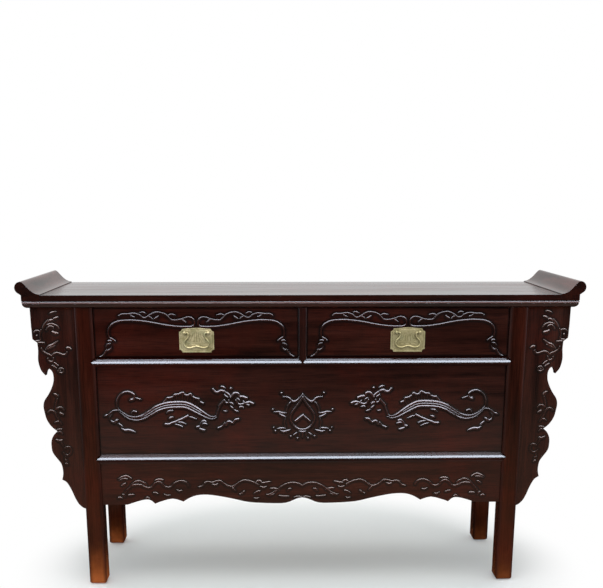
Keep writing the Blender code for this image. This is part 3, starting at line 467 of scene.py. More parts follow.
# Carving: strokes drawn in millimetres on a board's face, raised as one surface
carving = {
    "moat": 0.25, "moatReach": 4.5, "alongStep": 1.3, "fineStep": 1.4, "fillStep": 2.6, "coarseStep": 16.0,
    "across": (0.0, 0.25, -0.25, 0.5, -0.5, 0.75, -0.75, 1.0, -1.0), "thin": 0.45, "clear": 0.7,
    "ease": 0.9, "easeReach": 2.4, "easeRows": (0.45, 0.9, 1.5, 2.4), "easeClear": 0.4, "edgeSplit": 6.0,
    "rimRows": (0.6,), "rimPlaces": (0.02, 0.5), "rimClear": 0.3, "coarseClear": 2.0, "rowClear": 0.8,
    # The next two lines also set the darkening kept on carved boards: painted shade and dirt around the
    # strokes, moved down as a painted shadow, and painted shade along the edges
    "chunk": 10, "nudge": 0.2, "soil": 5.2, "soilAndShadeInside": 1.3, "shadowFall": 0.7, "soilAndShadeCurve": 0.6,
    "edgeSoil": 0.0, "bandFade": 1.5, "near": 4.0, "edgeNear": 6.0, "edgeTouch": 0.6, "rowShare": 0.866,
    "curveSteps": 12, "dotReach": 0.3,
}
tapers = {"leafEnd": 0.30, "leafSwell": 0.70, "leafCurve": 0.8, "curlStart": 0.62, "curlSwell": 0.50}
farAway, tiny = 99.0, 1e-9


def runThrough(points):
    # Smooth line through a few points, cut into short even steps
    p = np.array([points[0], *points, points[-1]], float)
    t = np.linspace(0, 1, carving["curveSteps"], endpoint=False)[:, None]
    line = [0.5 * ((-t + 2 * t**2 - t**3) * a + (2 - 5 * t**2 + 3 * t**3) * b
                   + (t + 4 * t**2 - 3 * t**3) * c + (-t**2 + t**3) * d)
            for a, b, c, d in zip(p, p[1:], p[2:], p[3:])]
    line = np.concatenate(line + [p[-1:]])
    far = np.concatenate([[0], np.cumsum(np.linalg.norm(np.diff(line, axis=0), axis=1))])
    even = np.linspace(0, far[-1], max(3, int(far[-1] / carving["alongStep"]) + 1))
    return np.stack([np.interp(even, far, line[:, k]) for k in (0, 1)], 1), even / far[-1]


def taper(kind, share):
    if kind == "leaf":                      # thin at both ends
        swell = np.sin(np.pi * np.clip(share, 0, 1)) ** tapers["leafCurve"]
        return tapers["leafEnd"] + tapers["leafSwell"] * swell
    if kind == "curl":                      # stem that swells towards its end
        return tapers["curlStart"] + tapers["curlSwell"] * share ** 2
    return np.ones_like(share)              # even cord or band


def stroke(kind, half, rise, *points):
    line, share = runThrough(points)
    wide = taper(kind, share)
    return {"line": line, "half": half * wide, "rise": rise * np.sqrt(wide)}


def straight(half, rise, a, b):
    return stroke("cord", half, rise, a, ((a[0] + b[0]) / 2, (a[1] + b[1]) / 2), b)


def strokesOf(look, *parts, lift="lift"):
    kinds = {"curls": "curl", "leaves": "leaf", "flames": "leaf", "foot": "leaf"}
    return [stroke(kinds.get(part, "cord"), half, half * look[lift], *points)
            for part in parts for half, *points in look[part]]


def dotsOf(look):
    out = carving["dotReach"]
    return [stroke("cord", radius, radius * look["lift"], (x - out, z), (x, z), (x + out, z))
            for x, z, radius in look["dots"]]


def moved(strokes, mirror=None, shift=(0.0, 0.0)):
    made = []
    for s in strokes:
        line = s["line"] + np.array(shift)
        if mirror is not None:
            line = line * (-1, 1) + (2 * mirror, 0)
        made.append({**s, "line": line})
    return made


def forSide(strokes, way):
    return moved(strokes, mirror=0.0) if way > 0 else strokes


def normalsOf(line):
    way = np.gradient(line, axis=0)
    return np.stack([-way[:, 1], way[:, 0]], 1) / np.maximum(np.linalg.norm(way, axis=1), tiny)[:, None]


def offsetStroke(points, share, half, rise, least):
    # Ridge beside a band's middle line; the points carry the band's half width as third number
    line, along = runThrough([p[:2] for p in points])
    wide = np.interp(along, np.linspace(0, 1, len(points)), [p[2] for p in points])
    size = wide / wide.max()
    return {"line": line + normalsOf(line) * (wide * share)[:, None], "half": half * size,
            "rise": rise * np.sqrt(size) * np.clip((wide - least) / carving["bandFade"], 0, 1)}


def inBox(points, line, margin):
    return np.flatnonzero(np.all((points > line.min(0) - margin) & (points < line.max(0) + margin), axis=1))


def fromSegment(points, a, b):
    # How far along the segment each point lies, and its distance
    ab = b - a
    t = np.clip((points - a) @ ab / max(ab @ ab, tiny), 0, 1)
    return t, np.linalg.norm(points - a - t[:, None] * ab, axis=1)


def reliefAt(points, strokes):
    # Height above the ground and the gap to the nearest stroke, for each point
    high = np.zeros(len(points))
    gap = np.full(len(points), farAway)
    for s in strokes:
        line, half, rise = s["line"], s["half"], s["rise"]
        margin = half.max() + carving["moatReach"] + carving["near"]
        near = inBox(points, line, margin)
        p = points[near]
        ratio, lift, out = np.full(len(p), farAway), np.zeros(len(p)), np.full(len(p), farAway)
        for start in range(0, len(line) - 1, carving["chunk"]):
            part = slice(start, start + carving["chunk"] + 1)
            close = inBox(p, line[part], margin)
            q = p[close]
            bestRatio, bestLift, bestOut = ratio[close], lift[close], out[close]
            for a, b, ha, hb, ra, rb in zip(line[part], line[part][1:], half[part], half[part][1:],
                                            rise[part], rise[part][1:]):
                t, far = fromSegment(q, a, b)
                wide = ha + (hb - ha) * t
                closer = far / wide < bestRatio
                bestRatio = np.where(closer, far / wide, bestRatio)
                bestLift = np.where(closer, ra + (rb - ra) * t, bestLift)
                bestOut = np.minimum(bestOut, far - wide)
            ratio[close], lift[close], out[close] = bestRatio, bestLift, bestOut
        high[near] = np.maximum(high[near], lift * np.clip(1 - ratio**2, 0, 1) ** 2)
        gap[near] = np.minimum(gap[near], out)
    return high, gap


def insideLoops(points, edges):
    # Even-odd test against the outline's edges
    hits = np.zeros(len(points), bool)
    x, z = points[:, 0], points[:, 1]
    for (ax, az), (bx, bz) in edges:
        if az == bz:
            continue
        crosses = (az > z) != (bz > z)
        hits ^= crosses & (x < ax + (bx - ax) * (z - az) / (bz - az))
    return hits


def farFromEdges(points, edges):
    far = np.full(len(points), farAway)
    for edge in np.array(edges):
        near = inBox(points, edge, carving["edgeNear"])
        far[near] = np.minimum(far[near], fromSegment(points[near], *edge)[1])
    return far


def gridPoints(low, high, step):
    made = []
    for i, z in enumerate(np.arange(low[1], high[1], step * carving["rowShare"])):
        x = np.arange(low[0] + (i % 2) * step / 2, high[0], step)
        made.append(np.stack([x, np.full(len(x), z)], 1))
    return np.concatenate(made)


def strokeRows(strokes, across, thin):
    # Rows of points that run along each stroke, at the same shares of its width
    made = []
    for s in strokes:
        side = normalsOf(s["line"])
        made += [s["line"] + side * (s["half"] * share)[:, None] for share in across]
    points = np.concatenate(made)
    _, first = np.unique(np.floor(points / thin).astype(int), axis=0, return_index=True)
    return points[np.sort(first)]


def clearOf(points, others, gap):
    tree = KDTree(len(others))
    for i, (x, z) in enumerate(others):
        tree.insert((x, z, 0.0), i)
    tree.balance()
    return np.array([p for p in points if tree.find((*p, 0.0))[2] > gap]).reshape(-1, 2)


def besideEdge(edge, places, insets):
    # Points beside an edge of the outline, on both sides of it
    a, b = np.array(edge)
    side = np.array((a[1] - b[1], b[0] - a[0])) / max(np.linalg.norm(b - a), tiny)
    return [a + (b - a) * share + side * inset * way
            for share in places for inset in insets for way in (-1, 1)]


def rimRow(edges, free, inset, eased):
    # Points close inside the straight edges, so that shading at the rim stays at the rim
    made = [p for edge in edges if edge not in free or inset >= eased
            for p in besideEdge(edge, carving["rimPlaces"], (inset,))]
    made = np.array(made).reshape(-1, 2)
    made = made[insideLoops(made, edges)]
    return made[farFromEdges(made, edges) > inset * carving["clear"]]


def easedEdge(edge, low, high, which):
    # free: the shaped edges, which nothing covers. all: every edge.
    ends = np.array(edge)
    onBox = [np.all(np.abs(ends - limit) < carving["edgeTouch"], axis=0) for limit in (low, high)]
    return {"": False, "all": True, "free": not np.any(onBox)}[which]


def openFront(name, depth):
    # Copy of the node's solid, cut open just behind its front face
    bm = solidOf(name)
    face = min(v.co.y for v in bm.verts)
    cutOff(bm, (0, face + depth, 0), (0, -1, 0))
    mergeFlat(bm)
    for edge in openEdges(bm):
        parts = int(edge.calc_length() / (carving["edgeSplit"] * mm))
        if parts:
            bmesh.ops.bisect_edges(bm, edges=[edge], cuts=parts)
    return bm, face


def shadeFacing(mesh, lit):
    # Normals taken from the drawn relief itself, on the corners of the smooth front faces only
    corners = np.empty(len(mesh.loops), int)
    mesh.loops.foreach_get("vertex_index", corners)
    drawn = np.zeros((len(mesh.vertices), 4))
    drawn[list(lit)] = list(lit.values())
    # Its fourth number is stored as an attribute: painted shade and dirt around strokes and edges, dirt in
    # engraved lines
    mesh.attributes.new("soil", "FLOAT", "POINT").data.foreach_set("value", drawn[:, 3].astype(np.float32))
    front = np.repeat([p.use_smooth for p in mesh.polygons], [p.loop_total for p in mesh.polygons])
    normals = drawn[corners, :3] * front[:, None]
    normals /= np.maximum(np.linalg.norm(normals, axis=1), tiny)[:, None]
    mesh.normals_split_custom_set(normals.tolist())


def carvedBoard(name, strokes, material, depth=0.0015, eased="", grooves=(), settings=None):
    look = {**carving, **(settings or {})}
    bm, face = openFront(name, depth)
    rim = openEdges(bm)
    rimVerts = list({v for e in rim for v in e.verts})
    index = {v: i for i, v in enumerate(rimVerts)}
    outline = np.array([(v.co.x, v.co.z) for v in rimVerts]) / mm
    edges = [tuple(tuple(outline[index[v]]) for v in e.verts) for e in rim]
    low, high = outline.min(0), outline.max(0)
    free = [e for e in edges if easedEdge(e, low, high, eased)]

    drawn = list(strokes) + list(grooves)
    fine = gridPoints(low, high, look["fineStep"])
    apart = look["fineStep"] * look["clear"]
    fine = fine[reliefAt(fine, drawn)[1] < apart]
    if look["across"]:
        followed = strokeRows(drawn, look["across"], look["thin"])
        fine = np.concatenate([followed, clearOf(fine, followed, apart)])
    fill = gridPoints(low, high, look["fillStep"])
    away = reliefAt(fill, drawn)[1]
    fill = fill[(away > look["fineStep"]) & (away < look["moatReach"] + look["fillStep"])]
    coarse = gridPoints(low, high, look["coarseStep"])
    coarse = coarse[reliefAt(coarse, drawn)[1] > look["moatReach"] + look["coarseClear"]]
    inner = np.concatenate([fine, fill, coarse])
    inner = inner[farFromEdges(inner, free) > look["easeReach"] + look["easeClear"]]
    if free:                                # rows of points just inside the outline, for its eased edge
        rows = np.array([p for edge in free for p in besideEdge(edge, (0.5,), look["easeRows"])])
        rows = rows[farFromEdges(rows, free) > look["easeRows"][0] * look["rowClear"]]
        inner = np.concatenate([inner, rows])
    inner = inner[insideLoops(inner, edges)]
    inner = inner[farFromEdges(inner, edges) > look["rimClear"]]
    inner = np.concatenate([inner] + [rimRow(edges, free, row, look["easeReach"]) for row in look["rimRows"]])

    points = [Vector(p) for p in np.concatenate([outline, inner])]
    flatVerts, _, triangles, source, _, _ = delaunay_2d_cdt(
        points, [[index[v] for v in e.verts] for e in rim], [], 1, plain["weld"])
    flat = np.array([(v.x, v.y) for v in flatVerts])
    middles = flat[np.array(triangles)].mean(axis=1)
    kept = insideLoops(middles, edges)

    def heightAt(places):
        height, away = reliefAt(places, strokes)
        ground = -look["moat"] * np.clip(1 - np.maximum(away, 0) / look["moatReach"], 0, 1) ** 2
        total = np.where(height > 0, height - look["moat"], ground) - reliefAt(places, grooves)[0]
        return total - look["ease"] * np.clip(1 - farFromEdges(places, free) / look["easeReach"], 0, 1) ** 2

    total = heightAt(flat)
    nudge = look["nudge"]
    tilt = [(heightAt(flat - way) - heightAt(flat + way)) / (2 * nudge) for way in ((nudge, 0), (0, nudge))]
    shading = np.stack([tilt[0], np.full(len(flat), -1.0), tilt[1]], 1)
    # Painted shade and dirt around the strokes, moved down so that it falls below them as a painted shadow,
    # and painted shade along the board's edges; engraved lines darken with dirt
    away = reliefAt(flat + (0.0, look["shadowFall"]), strokes)[1]
    soil = np.clip(np.where(away > 0, 1 - away / look["soil"], 1 + away / look["soilAndShadeInside"]), 0, 1)
    soil = soil ** look["soilAndShadeCurve"]
    if grooves:
        cut = reliefAt(flat, grooves)[0]
        soil = np.maximum(soil, cut / cut.max())
    if look["edgeSoil"]:
        soil = np.maximum(soil, np.clip(1 - farFromEdges(flat, edges) / look["edgeSoil"], 0, 1))

    facing = [bm.verts.new((x * mm, face - h * mm, z * mm)) for (x, z), h in zip(flat, total)]
    outerOf = {}
    for i, origins in enumerate(source):
        outerOf.update({rimVerts[k]: facing[i] for k in origins if k < len(rimVerts)})
    for e in rim:
        a, b = e.verts
        bm.faces.new((a, b, outerOf[b], outerOf[a]))
    for triangle, inside in zip(triangles, kept):
        if inside:
            bm.faces.new([facing[i] for i in triangle]).smooth = True
    bmesh.ops.delete(bm, geom=[v for v in facing if not v.link_faces], context="VERTS")
    bmesh.ops.recalc_face_normals(bm, faces=bm.faces)
    bm.verts.index_update()
    lit = {v.index: (*normal, dirtAndShade) for v, normal, dirtAndShade in zip(facing, shading, soil) if v.is_valid}
    print("carved", name, len(bm.faces), "faces")
    shadeFacing(standIn(name, bm, material).data, lit)


# Front panel: two dragons and a flaming pearl. Points follow the lit upper sides of the cuts.
# Ridges of a dragon's body: place across it, half width, rise, and the least width that carries it
dragon = {
    "shade": (0.0, -1.6), "lift": 0.42, "ray": (1.8, 0.4),
    "ridges": ((0.78, 4.4, 2.0, 0.0), (0.0, 2.6, 0.8, 5.6), (-0.81, 3.3, 1.4, 0.0)),
    "body": (
        (-523, 536, 1.4), (-516, 526, 2.6), (-505, 516, 4.4), (-490, 507, 5.8), (-470, 504, 6.6),
        (-450, 509, 7.2), (-430, 521, 7.8), (-410, 533, 8.4), (-385, 541, 8.8), (-355, 543.5, 9.0),
        (-330, 542, 9.0), (-310, 533, 8.8), (-290, 521, 8.0), (-270, 509, 6.2), (-255, 505, 4.6),
        (-244, 509, 2.8)),
    "curls": (
        (3.2, (-522, 531), (-524, 548), (-521, 563), (-512, 575), (-498, 582), (-485, 581), (-475, 574),
         (-473, 566), (-478, 560), (-485, 558)),
        (3.0, (-521, 529), (-532, 528), (-541, 523), (-547, 517)),
        (2.4, (-540, 516), (-546, 508), (-543, 498), (-535, 494)),
        (2.6, (-484, 519), (-482, 524), (-477, 526), (-470, 523))),
    "leaves": (
        (3.2, (-550, 516), (-555, 514), (-561, 511)), (4.6, (-536, 492), (-530, 496), (-523, 501)),
        (3.2, (-522, 491), (-517, 486), (-511, 481)),
        (4.4, (-514, 476), (-505, 470), (-492, 470), (-476, 465)),
        (2.2, (-472, 566), (-464, 562), (-455, 560)), (3.0, (-385, 520), (-378, 525), (-368, 527)),
        (3.8, (-379, 503), (-373, 506), (-367, 508)), (2.8, (-362, 487), (-350, 483), (-340, 479)),
        (3.0, (-354, 493), (-344, 492), (-332, 488)), (2.6, (-322, 509), (-312, 506), (-302, 502)),
        (3.6, (-284, 488), (-278, 488), (-271, 486)), (4.2, (-293, 474), (-286, 470), (-277, 469)),
        (3.4, (-231, 596), (-225, 595), (-218, 591)), (3.6, (-218, 581), (-210, 574), (-202, 568)),
        (3.0, (-220, 571), (-215, 567), (-210, 564)), (3.4, (-206, 549), (-200, 547), (-195, 542)),
        (3.2, (-204, 539), (-200, 535), (-195, 531)), (2.8, (-194, 528), (-188, 525), (-182, 523)),
        (3.2, (-180, 535), (-174, 537), (-167, 535)), (2.6, (-224, 526), (-219, 524), (-214, 525)),
        (2.6, (-186, 562), (-180, 558), (-176, 552))),
    "stems": (
        (3.6, (-390, 487), (-379, 487), (-370, 491), (-360, 494), (-350, 499), (-340, 503), (-325, 511)),
        (3.6, (-300, 478), (-292, 481), (-288, 490), (-281, 496), (-275, 494)),
        (3.0, (-240, 475), (-229, 480), (-221, 489)),
        (3.6, (-217, 484), (-213, 492), (-207, 494), (-200, 490), (-195, 494), (-190, 499), (-182, 501)),
        (3.6, (-252, 588), (-246, 581), (-238, 580), (-230, 584), (-221, 582)),
        (3.9, (-200, 569), (-193, 576), (-186, 577), (-181, 574), (-177, 567), (-168, 566), (-158, 562)),
        (4.0, (-159, 548), (-150, 550), (-140, 546)),
        (3.0, (-188, 556), (-182, 546), (-174, 544), (-167, 546)),
        (2.6, (-168, 553), (-160, 545), (-151, 541)),
        (2.8, (-220, 554), (-216, 549), (-210, 549), (-208, 556)),
        (3.0, (-236, 540), (-229, 548), (-221, 557)), (2.0, (-244, 512), (-240, 525), (-233, 541))),
    "fin": (
        (2.9, (-392, 552), (-386, 558), (-381, 564), (-374, 564), (-366, 567), (-360, 573), (-350, 574),
         (-344, 577), (-337, 579), (-332, 573), (-324, 571), (-316, 575), (-310, 567), (-300, 562),
         (-293, 560), (-289, 552), (-281, 548)),),
    "finRays": (
        ((-372, 562), (-368, 553)), ((-356, 571), (-354, 555)), ((-339, 574), (-340, 555)),
        ((-323, 569), (-326, 552)), ((-306, 563), (-313, 546)), ((-292, 556), (-299, 540))),
    "dots": ((-202, 590, 4.0), (-203, 565, 3.6), (-483, 559, 4.2)),
    "settings": {"soil": 7.0, "moatReach": 6.0, "edgeSoil": 4.0, "rimRows": (0.6, 2.6, 4.2)},
}
pearl = {
    "middle": 1.0, "shade": (0.0, -1.4), "lift": 0.39,
    "ring": (
        (2.9, (1, 564), (-8, 550), (-19, 535), (-30, 519), (-34, 505), (-30, 490), (-20, 477), (-8, 470),
         (8, 470), (21, 477), (31, 490), (35, 505), (31, 519), (20, 535), (9, 550), (1, 564)),),
    "diamond": ((4.2, (-19, 494), (2, 511)), (3.0, (2, 511), (21, 494))),
    "flames": (
        (3.4, (1, 573), (-9, 561), (-18, 553), (-28, 552), (-37, 561), (-46, 565), (-54, 565)),
        (2.6, (-31, 552), (-38, 545), (-44, 533), (-46, 520)),
        (3.4, (-45, 519), (-56, 518), (-68, 521), (-80, 521)), (3.4, (-66, 516), (-57, 510), (-47, 507)),
        (2.6, (-47, 505), (-51, 492), (-49, 479), (-54, 473)), (3.4, (-48, 473), (-60, 473), (-72, 472)),
        (3.8, (-34, 469), (-44, 465), (-54, 463), (-62, 466)), (3.0, (-26, 452), (-20, 456), (-15, 461)),
        (2.8, (-8, 462), (-9, 454), (-12, 447))),
    "dots": (
        (-59, 576, 3.6), (-84, 528, 3.6), (-77, 465, 3.6), (-82, 475, 2.8), (-33, 449, 3.6), (-14, 443, 3.4)),
    "foot": ((3.4, (-8, 464), (1, 462), (10, 464)), (3.0, (1, 460), (1, 452), (1, 445))),
}


def drawnDragon():
    made = [offsetStroke(dragon["body"], *ridge) for ridge in dragon["ridges"]]
    made += strokesOf(dragon, "curls", "leaves", "stems", "fin")
    made += [straight(*dragon["ray"], a, b) for a, b in dragon["finRays"]]
    return moved(made + dotsOf(dragon), shift=dragon["shade"])


def drawnPearl():
    made = strokesOf(pearl, "ring")
    made += [straight(half, half * pearl["lift"], a, b) for half, a, b in pearl["diamond"]]
    made += strokesOf(pearl, "foot")
    flames = strokesOf(pearl, "flames") + dotsOf(pearl)
    return moved(made + flames + moved(flames, mirror=pearl["middle"]), shift=pearl["shade"])


leftDragon = drawnDragon()
carvedBoard("front_panel", leftDragon + moved(leftDragon, mirror=0.0) + drawnPearl(), carvedX,
            settings=dragon["settings"])

# Drawer fronts: a raised cusped line whose ends run back as a vine, drawn on the left drawer's left half
drawerFront = {
    "middle": -294.0, "shade": (3.2, -1.8), "lift": 0.31, "fineLift": 0.26,
    "lines": (
        (2.6, (-578, 678), (-566, 682), (-558, 687), (-552, 694), (-547, 702)),
        (2.6, (-538, 738), (-540, 750), (-539, 760), (-535, 768), (-528, 774.5), (-518, 780), (-504, 783.5),
         (-486, 784.5), (-470, 784.5), (-440, 781.5), (-415, 777.5), (-390, 772.5), (-360, 768),
         (-340, 766.5), (-316, 766.5), (-306, 769), (-302, 776), (-304, 786), (-311, 792))),
    "vines": (
        (2.1, (-302, 776), (-304, 786), (-311, 792), (-322, 793), (-340, 787), (-354, 785), (-365, 786),
         (-372, 792), (-380, 800), (-391, 805), (-406, 807), (-418, 803), (-428, 797), (-437, 792),
         (-445, 793), (-452, 799), (-462, 803), (-472, 804), (-486, 802), (-500, 802), (-509, 797)),),
    "leaves": (
        (2.72, (-551, 700), (-543, 701), (-536, 705), (-533, 712)),
        (2.56, (-548, 713), (-543, 718), (-536, 720)), (3.52, (-543, 727), (-538, 728), (-532, 726)),
        (3.36, (-538, 738), (-531, 733), (-522, 727)), (2.4, (-450, 806), (-443, 807), (-435, 804)),
        (3.2, (-413, 789), (-407, 791), (-401, 796)), (2.4, (-376, 797), (-366, 801), (-354, 799)),
        (2.88, (-340, 788), (-333, 784), (-326, 779)), (2.4, (-430, 797), (-422, 792), (-417, 788)),
        (2.4, (-480, 802), (-474, 796), (-466, 794))),
    "settings": {"soil": 8.0, "moatReach": 6.5, "edgeSoil": 5.0, "rimRows": (0.6, 2.8, 5.2)},
}
halfFront = strokesOf(drawerFront, "lines") + strokesOf(drawerFront, "vines", "leaves", lift="fineLift")
halfFront = moved(halfFront, shift=drawerFront["shade"])
wholeFront = halfFront + moved(halfFront, mirror=drawerFront["middle"])
for side, way in sides:
    carvedBoard(f"drawer_{side}_front", forSide(wholeFront, way), drawerX, depth=0.003,
                settings=drawerFront["settings"])

# Apron: vines with leaf scrolls over the scalloped edge, drawn on the left half
apron = {
    "shade": (0.0, -1.4), "lift": 0.34,
    "vines": (
        (3.2, (-512, 284), (-506, 292), (-498, 300), (-488, 312), (-478, 318), (-468, 319), (-458, 313),
         (-450, 306)),
        (3.2, (-490, 306), (-478, 308), (-466, 307), (-456, 302), (-444, 298), (-434, 302), (-426, 311),
         (-416, 316), (-406, 312), (-398, 303), (-388, 299), (-378, 302), (-370, 311), (-358, 317),
         (-346, 318), (-335, 314), (-328, 304)),
        (3.2, (-282, 312), (-272, 315), (-260, 313), (-248, 317), (-236, 317), (-226, 309), (-214, 302),
         (-202, 300), (-190, 307), (-180, 314), (-168, 319), (-154, 317), (-140, 312), (-128, 305)),
        (3.2, (-96, 275), (-84, 281), (-72, 290), (-62, 298), (-50, 305), (-36, 310), (-20, 310), (-8, 306),
         (0, 301))),
    "leaves": (
        (4.4, (-530, 326), (-518, 331), (-506, 334), (-492, 327)),
        (3.6, (-526, 322), (-516, 326), (-504, 326)), (4.4, (-522, 306), (-516, 308), (-509, 313)),
        (4.0, (-534, 268), (-528, 269), (-521, 268)), (4.0, (-503, 277), (-495, 277), (-487, 278)),
        (4.4, (-424, 321), (-413, 323), (-401, 322)), (3.4, (-432, 284), (-426, 283), (-417, 280)),
        (3.4, (-456, 264), (-449, 269), (-442, 266)), (3.6, (-520, 280), (-515, 276), (-511, 270)),
        (3.4, (-462, 316), (-455, 313), (-449, 308)), (3.6, (-260, 308), (-252, 305), (-244, 309)),
        (3.6, (-204, 298), (-198, 292), (-192, 286)), (3.8, (-182, 277), (-176, 279), (-167, 287)),
        (3.8, (-140, 278), (-132, 283), (-122, 287)), (4.2, (-134, 314), (-126, 317), (-117, 314)),
        (3.8, (-118, 311), (-106, 311), (-92, 315)), (3.6, (-122, 300), (-112, 296), (-104, 300)),
        (3.8, (-92, 294), (-80, 293), (-68, 289)), (3.6, (-104, 276), (-94, 273), (-82, 277)),
        (3.4, (-68, 272), (-54, 269), (-40, 270)), (3.4, (-24, 266), (-14, 268), (-2, 268)),
        (4.0, (-44, 285), (-39, 291), (-32, 293)), (3.0, (-140, 265), (-132, 263), (-126, 266)),
        (3.2, (-364, 292), (-356, 288), (-348, 290)), (3.2, (-300, 300), (-290, 302), (-283, 310)),
        (3.0, (-400, 279), (-392, 274), (-384, 276))),
}
halfApron = moved(strokesOf(apron, "vines", "leaves"), shift=apron["shade"])
carvedBoard("front_apron", halfApron + moved(halfApron, mirror=0.0), dullX, depth=0.003, eased="free")

# Front wings: leaf scrolls down the outer edge, drawn on the left wing
wing = {
    "shade": (0.0, -1.2), "lift": 0.28,
    "cords": (
        (3.0, (-722, 757), (-725, 748), (-726, 739), (-725, 731), (-730, 727), (-740, 726)),
        (2.6, (-744, 750), (-737, 755), (-730, 755), (-724, 750)),
        (2.8, (-725, 706), (-721, 698), (-711, 691), (-703, 688), (-698, 684)),
        (3.0, (-698, 684), (-692, 690), (-684, 693), (-675, 691), (-667, 688), (-659, 689), (-655, 695)),
        (2.8, (-704, 771), (-695, 774), (-685, 772), (-678, 768), (-673, 761)),
        (2.6, (-708, 757), (-702, 765), (-695, 768), (-688, 764)),
        (2.8, (-709, 677), (-707, 671), (-700, 668), (-694, 671), (-693, 678)),
        (2.8, (-681, 645), (-677, 649), (-671, 649), (-667, 645), (-668, 639), (-673, 636), (-679, 637),
         (-683, 641)),
        (2.6, (-690, 562), (-695, 547), (-697, 532)),
        (2.9, (-719, 522), (-712, 528), (-704, 527), (-698, 521), (-693, 508), (-688, 498), (-683, 489)),
        (3.0, (-695, 532), (-687, 537), (-679, 536), (-674, 530)),
        (2.9, (-678, 417), (-672, 421), (-664, 420), (-660, 413), (-662, 403), (-670, 397), (-678, 399),
         (-683, 405)),
        (2.6, (-738, 721), (-727, 722), (-716, 721))),
    "leaves": (
        (4.6, (-718, 762), (-710, 774), (-701, 785)), (3.8, (-703, 778), (-695, 784), (-687, 785)),
        (3.8, (-688, 787), (-681, 790), (-673, 793)), (3.4, (-697, 802), (-688, 806), (-678, 808)),
        (5.0, (-693, 753), (-685, 748), (-676, 748)),
        (4.6, (-714, 701), (-704, 711), (-692, 716), (-677, 728)),
        (3.4, (-708, 703), (-699, 708), (-688, 713)), (4.4, (-656, 707), (-650, 707), (-643, 704)),
        (3.6, (-693, 666), (-687, 661), (-681, 657)), (3.4, (-699, 658), (-693, 654), (-687, 650)),
        (4.2, (-699, 577), (-692, 573), (-686, 568)), (4.4, (-686, 522), (-681, 518), (-675, 516)),
        (3.2, (-702, 492), (-696, 495), (-688, 497)), (3.2, (-697, 472), (-690, 473), (-682, 474)),
        (3.2, (-694, 463), (-688, 466), (-681, 459)), (4.2, (-701, 444), (-692, 439), (-683, 442)),
        (4.4, (-679, 372), (-675, 370), (-671, 369)), (3.4, (-680, 384), (-676, 381), (-672, 377)),
        (3.0, (-690, 440), (-684, 430), (-680, 421)), (3.0, (-676, 394), (-678, 389), (-677, 383))),
    "dots": ((-735, 741, 3.6), (-676, 643, 2.6)),
}
leftWing = moved(strokesOf(wing, "cords", "leaves") + dotsOf(wing), shift=wing["shade"])
for side, way in sides:
    carvedBoard(f"wing_front_{side}", forSide(leftWing, way), dullZ, depth=0.004, eased="free")

# Pull plates: a fine border and two scrolls cut into the brass, drawn on the right half of the left plate
plate = {
    "middle": (-294.0, 726.5), "half": 1.0, "cut": 0.4,
    "lines": (
        ((0, 30.5), (20, 29.5), (37, 28.5)), ((37, 28.5), (38.5, 24.5), (43, 23)),
        ((43, 23), (43.5, 0), (43, -22)), ((43, -22), (38.5, -23.5), (37, -28)),
        ((37, -28), (18, -28.5), (0, -28.5)), ((0, 23), (0, 10), (0, -5)), ((5, 22), (6, 10), (8, -4)),
        ((10, 19), (13, 9), (17, 1)), ((15, 14), (20, 10), (24, 3), (22, -3), (17, -1)),
        ((0, -8), (8, -11), (17, -8), (25, -12))),
    "settings": {"moat": 0.0, "moatReach": 1.5, "fineStep": 0.45, "across": (), "fillStep": 1.4,
                 "coarseStep": 6.0, "ease": 0.35, "easeReach": 0.9, "easeRows": (0.3, 0.6, 0.9),
                 "edgeSplit": 3.0},
}


def drawnPlate():
    cx, cz = plate["middle"]
    half = []
    for line in plate["lines"]:
        half.append(stroke("cord", plate["half"], plate["cut"], *((cx + x, cz + z) for x, z in line)))
    return half + moved(half, mirror=cx)


for side, way in sides:
    carvedBoard(f"pull_plate_{side}", (), brassEngraved, depth=0.0007, eased="all",
                grooves=forSide(drawnPlate(), way), settings=plate["settings"])
print("boards carved")


# Plain studio: pale floor that fades to white, soft light from above
studio = {"floorSize": 9.0, "floorColor": (0.86, 0.90, 0.895), "clear": (0.56, 0.42), "fade": (1.0, 1.6),
          "ambient": 0.80,
          "softbox": {"place": (-0.3, -0.1, 3.2), "aim": (0.0, 0.0, 0.4), "size": (3.0, 2.2), "power": 52.0}}
# Seen only in reflections: the bright sky and windows that the lacquer mirrors
mirrored = {
    "skyFront": {"place": (0.0, -3.6, 3.4), "aim": (0.0, -0.1, 0.6), "size": (8.0, 2.5), "radiance": 66.0},
    "skyAbove": {"place": (0.0, -0.5, 4.4), "aim": (0.0, -0.49, 0.6), "size": (8.0, 3.0), "radiance": 22.0},
    "windowLeft": {"place": (-4.0, -1.6, 1.4), "aim": (0.0, 0.0, 0.6), "size": (3.6, 2.8), "radiance": 6.0},
    "windowRight": {"place": (4.0, -1.6, 1.4), "aim": (0.0, 0.0, 0.6), "size": (3.6, 2.8), "radiance": 5.0},
}
# Studio flags, seen only in reflections too: dark sheets that put painted shade into the reflections, one
# near the camera, two about the legs, the one on the floor standing in for the shade under the piece
darkCards = {"flagFront": ((-5.0, -2.3, 0.0), (5.0, -2.3, 0.95)),
             "flagBehind": ((-1.6, 0.5, 0.0), (1.6, 0.5, 0.80)),
             "flagUnder": ((-1.6, -0.17, 0.001), (1.6, 0.5, 0.001))}
reflectionShadeTone = 0.02
white = (1.0, 1.0, 1.0)
skyTint = (0.64, 0.82, 1.12)
brassShare = 0.10          # the dull brass gets only so much of that light


def seenRays(tree):
    path = addNode(tree, "ShaderNodeLightPath").outputs
    seen = math2(tree, "MAXIMUM", path["Is Camera Ray"], path["Is Glossy Ray"])
    return math2(tree, "MAXIMUM", seen, path["Is Transmission Ray"])


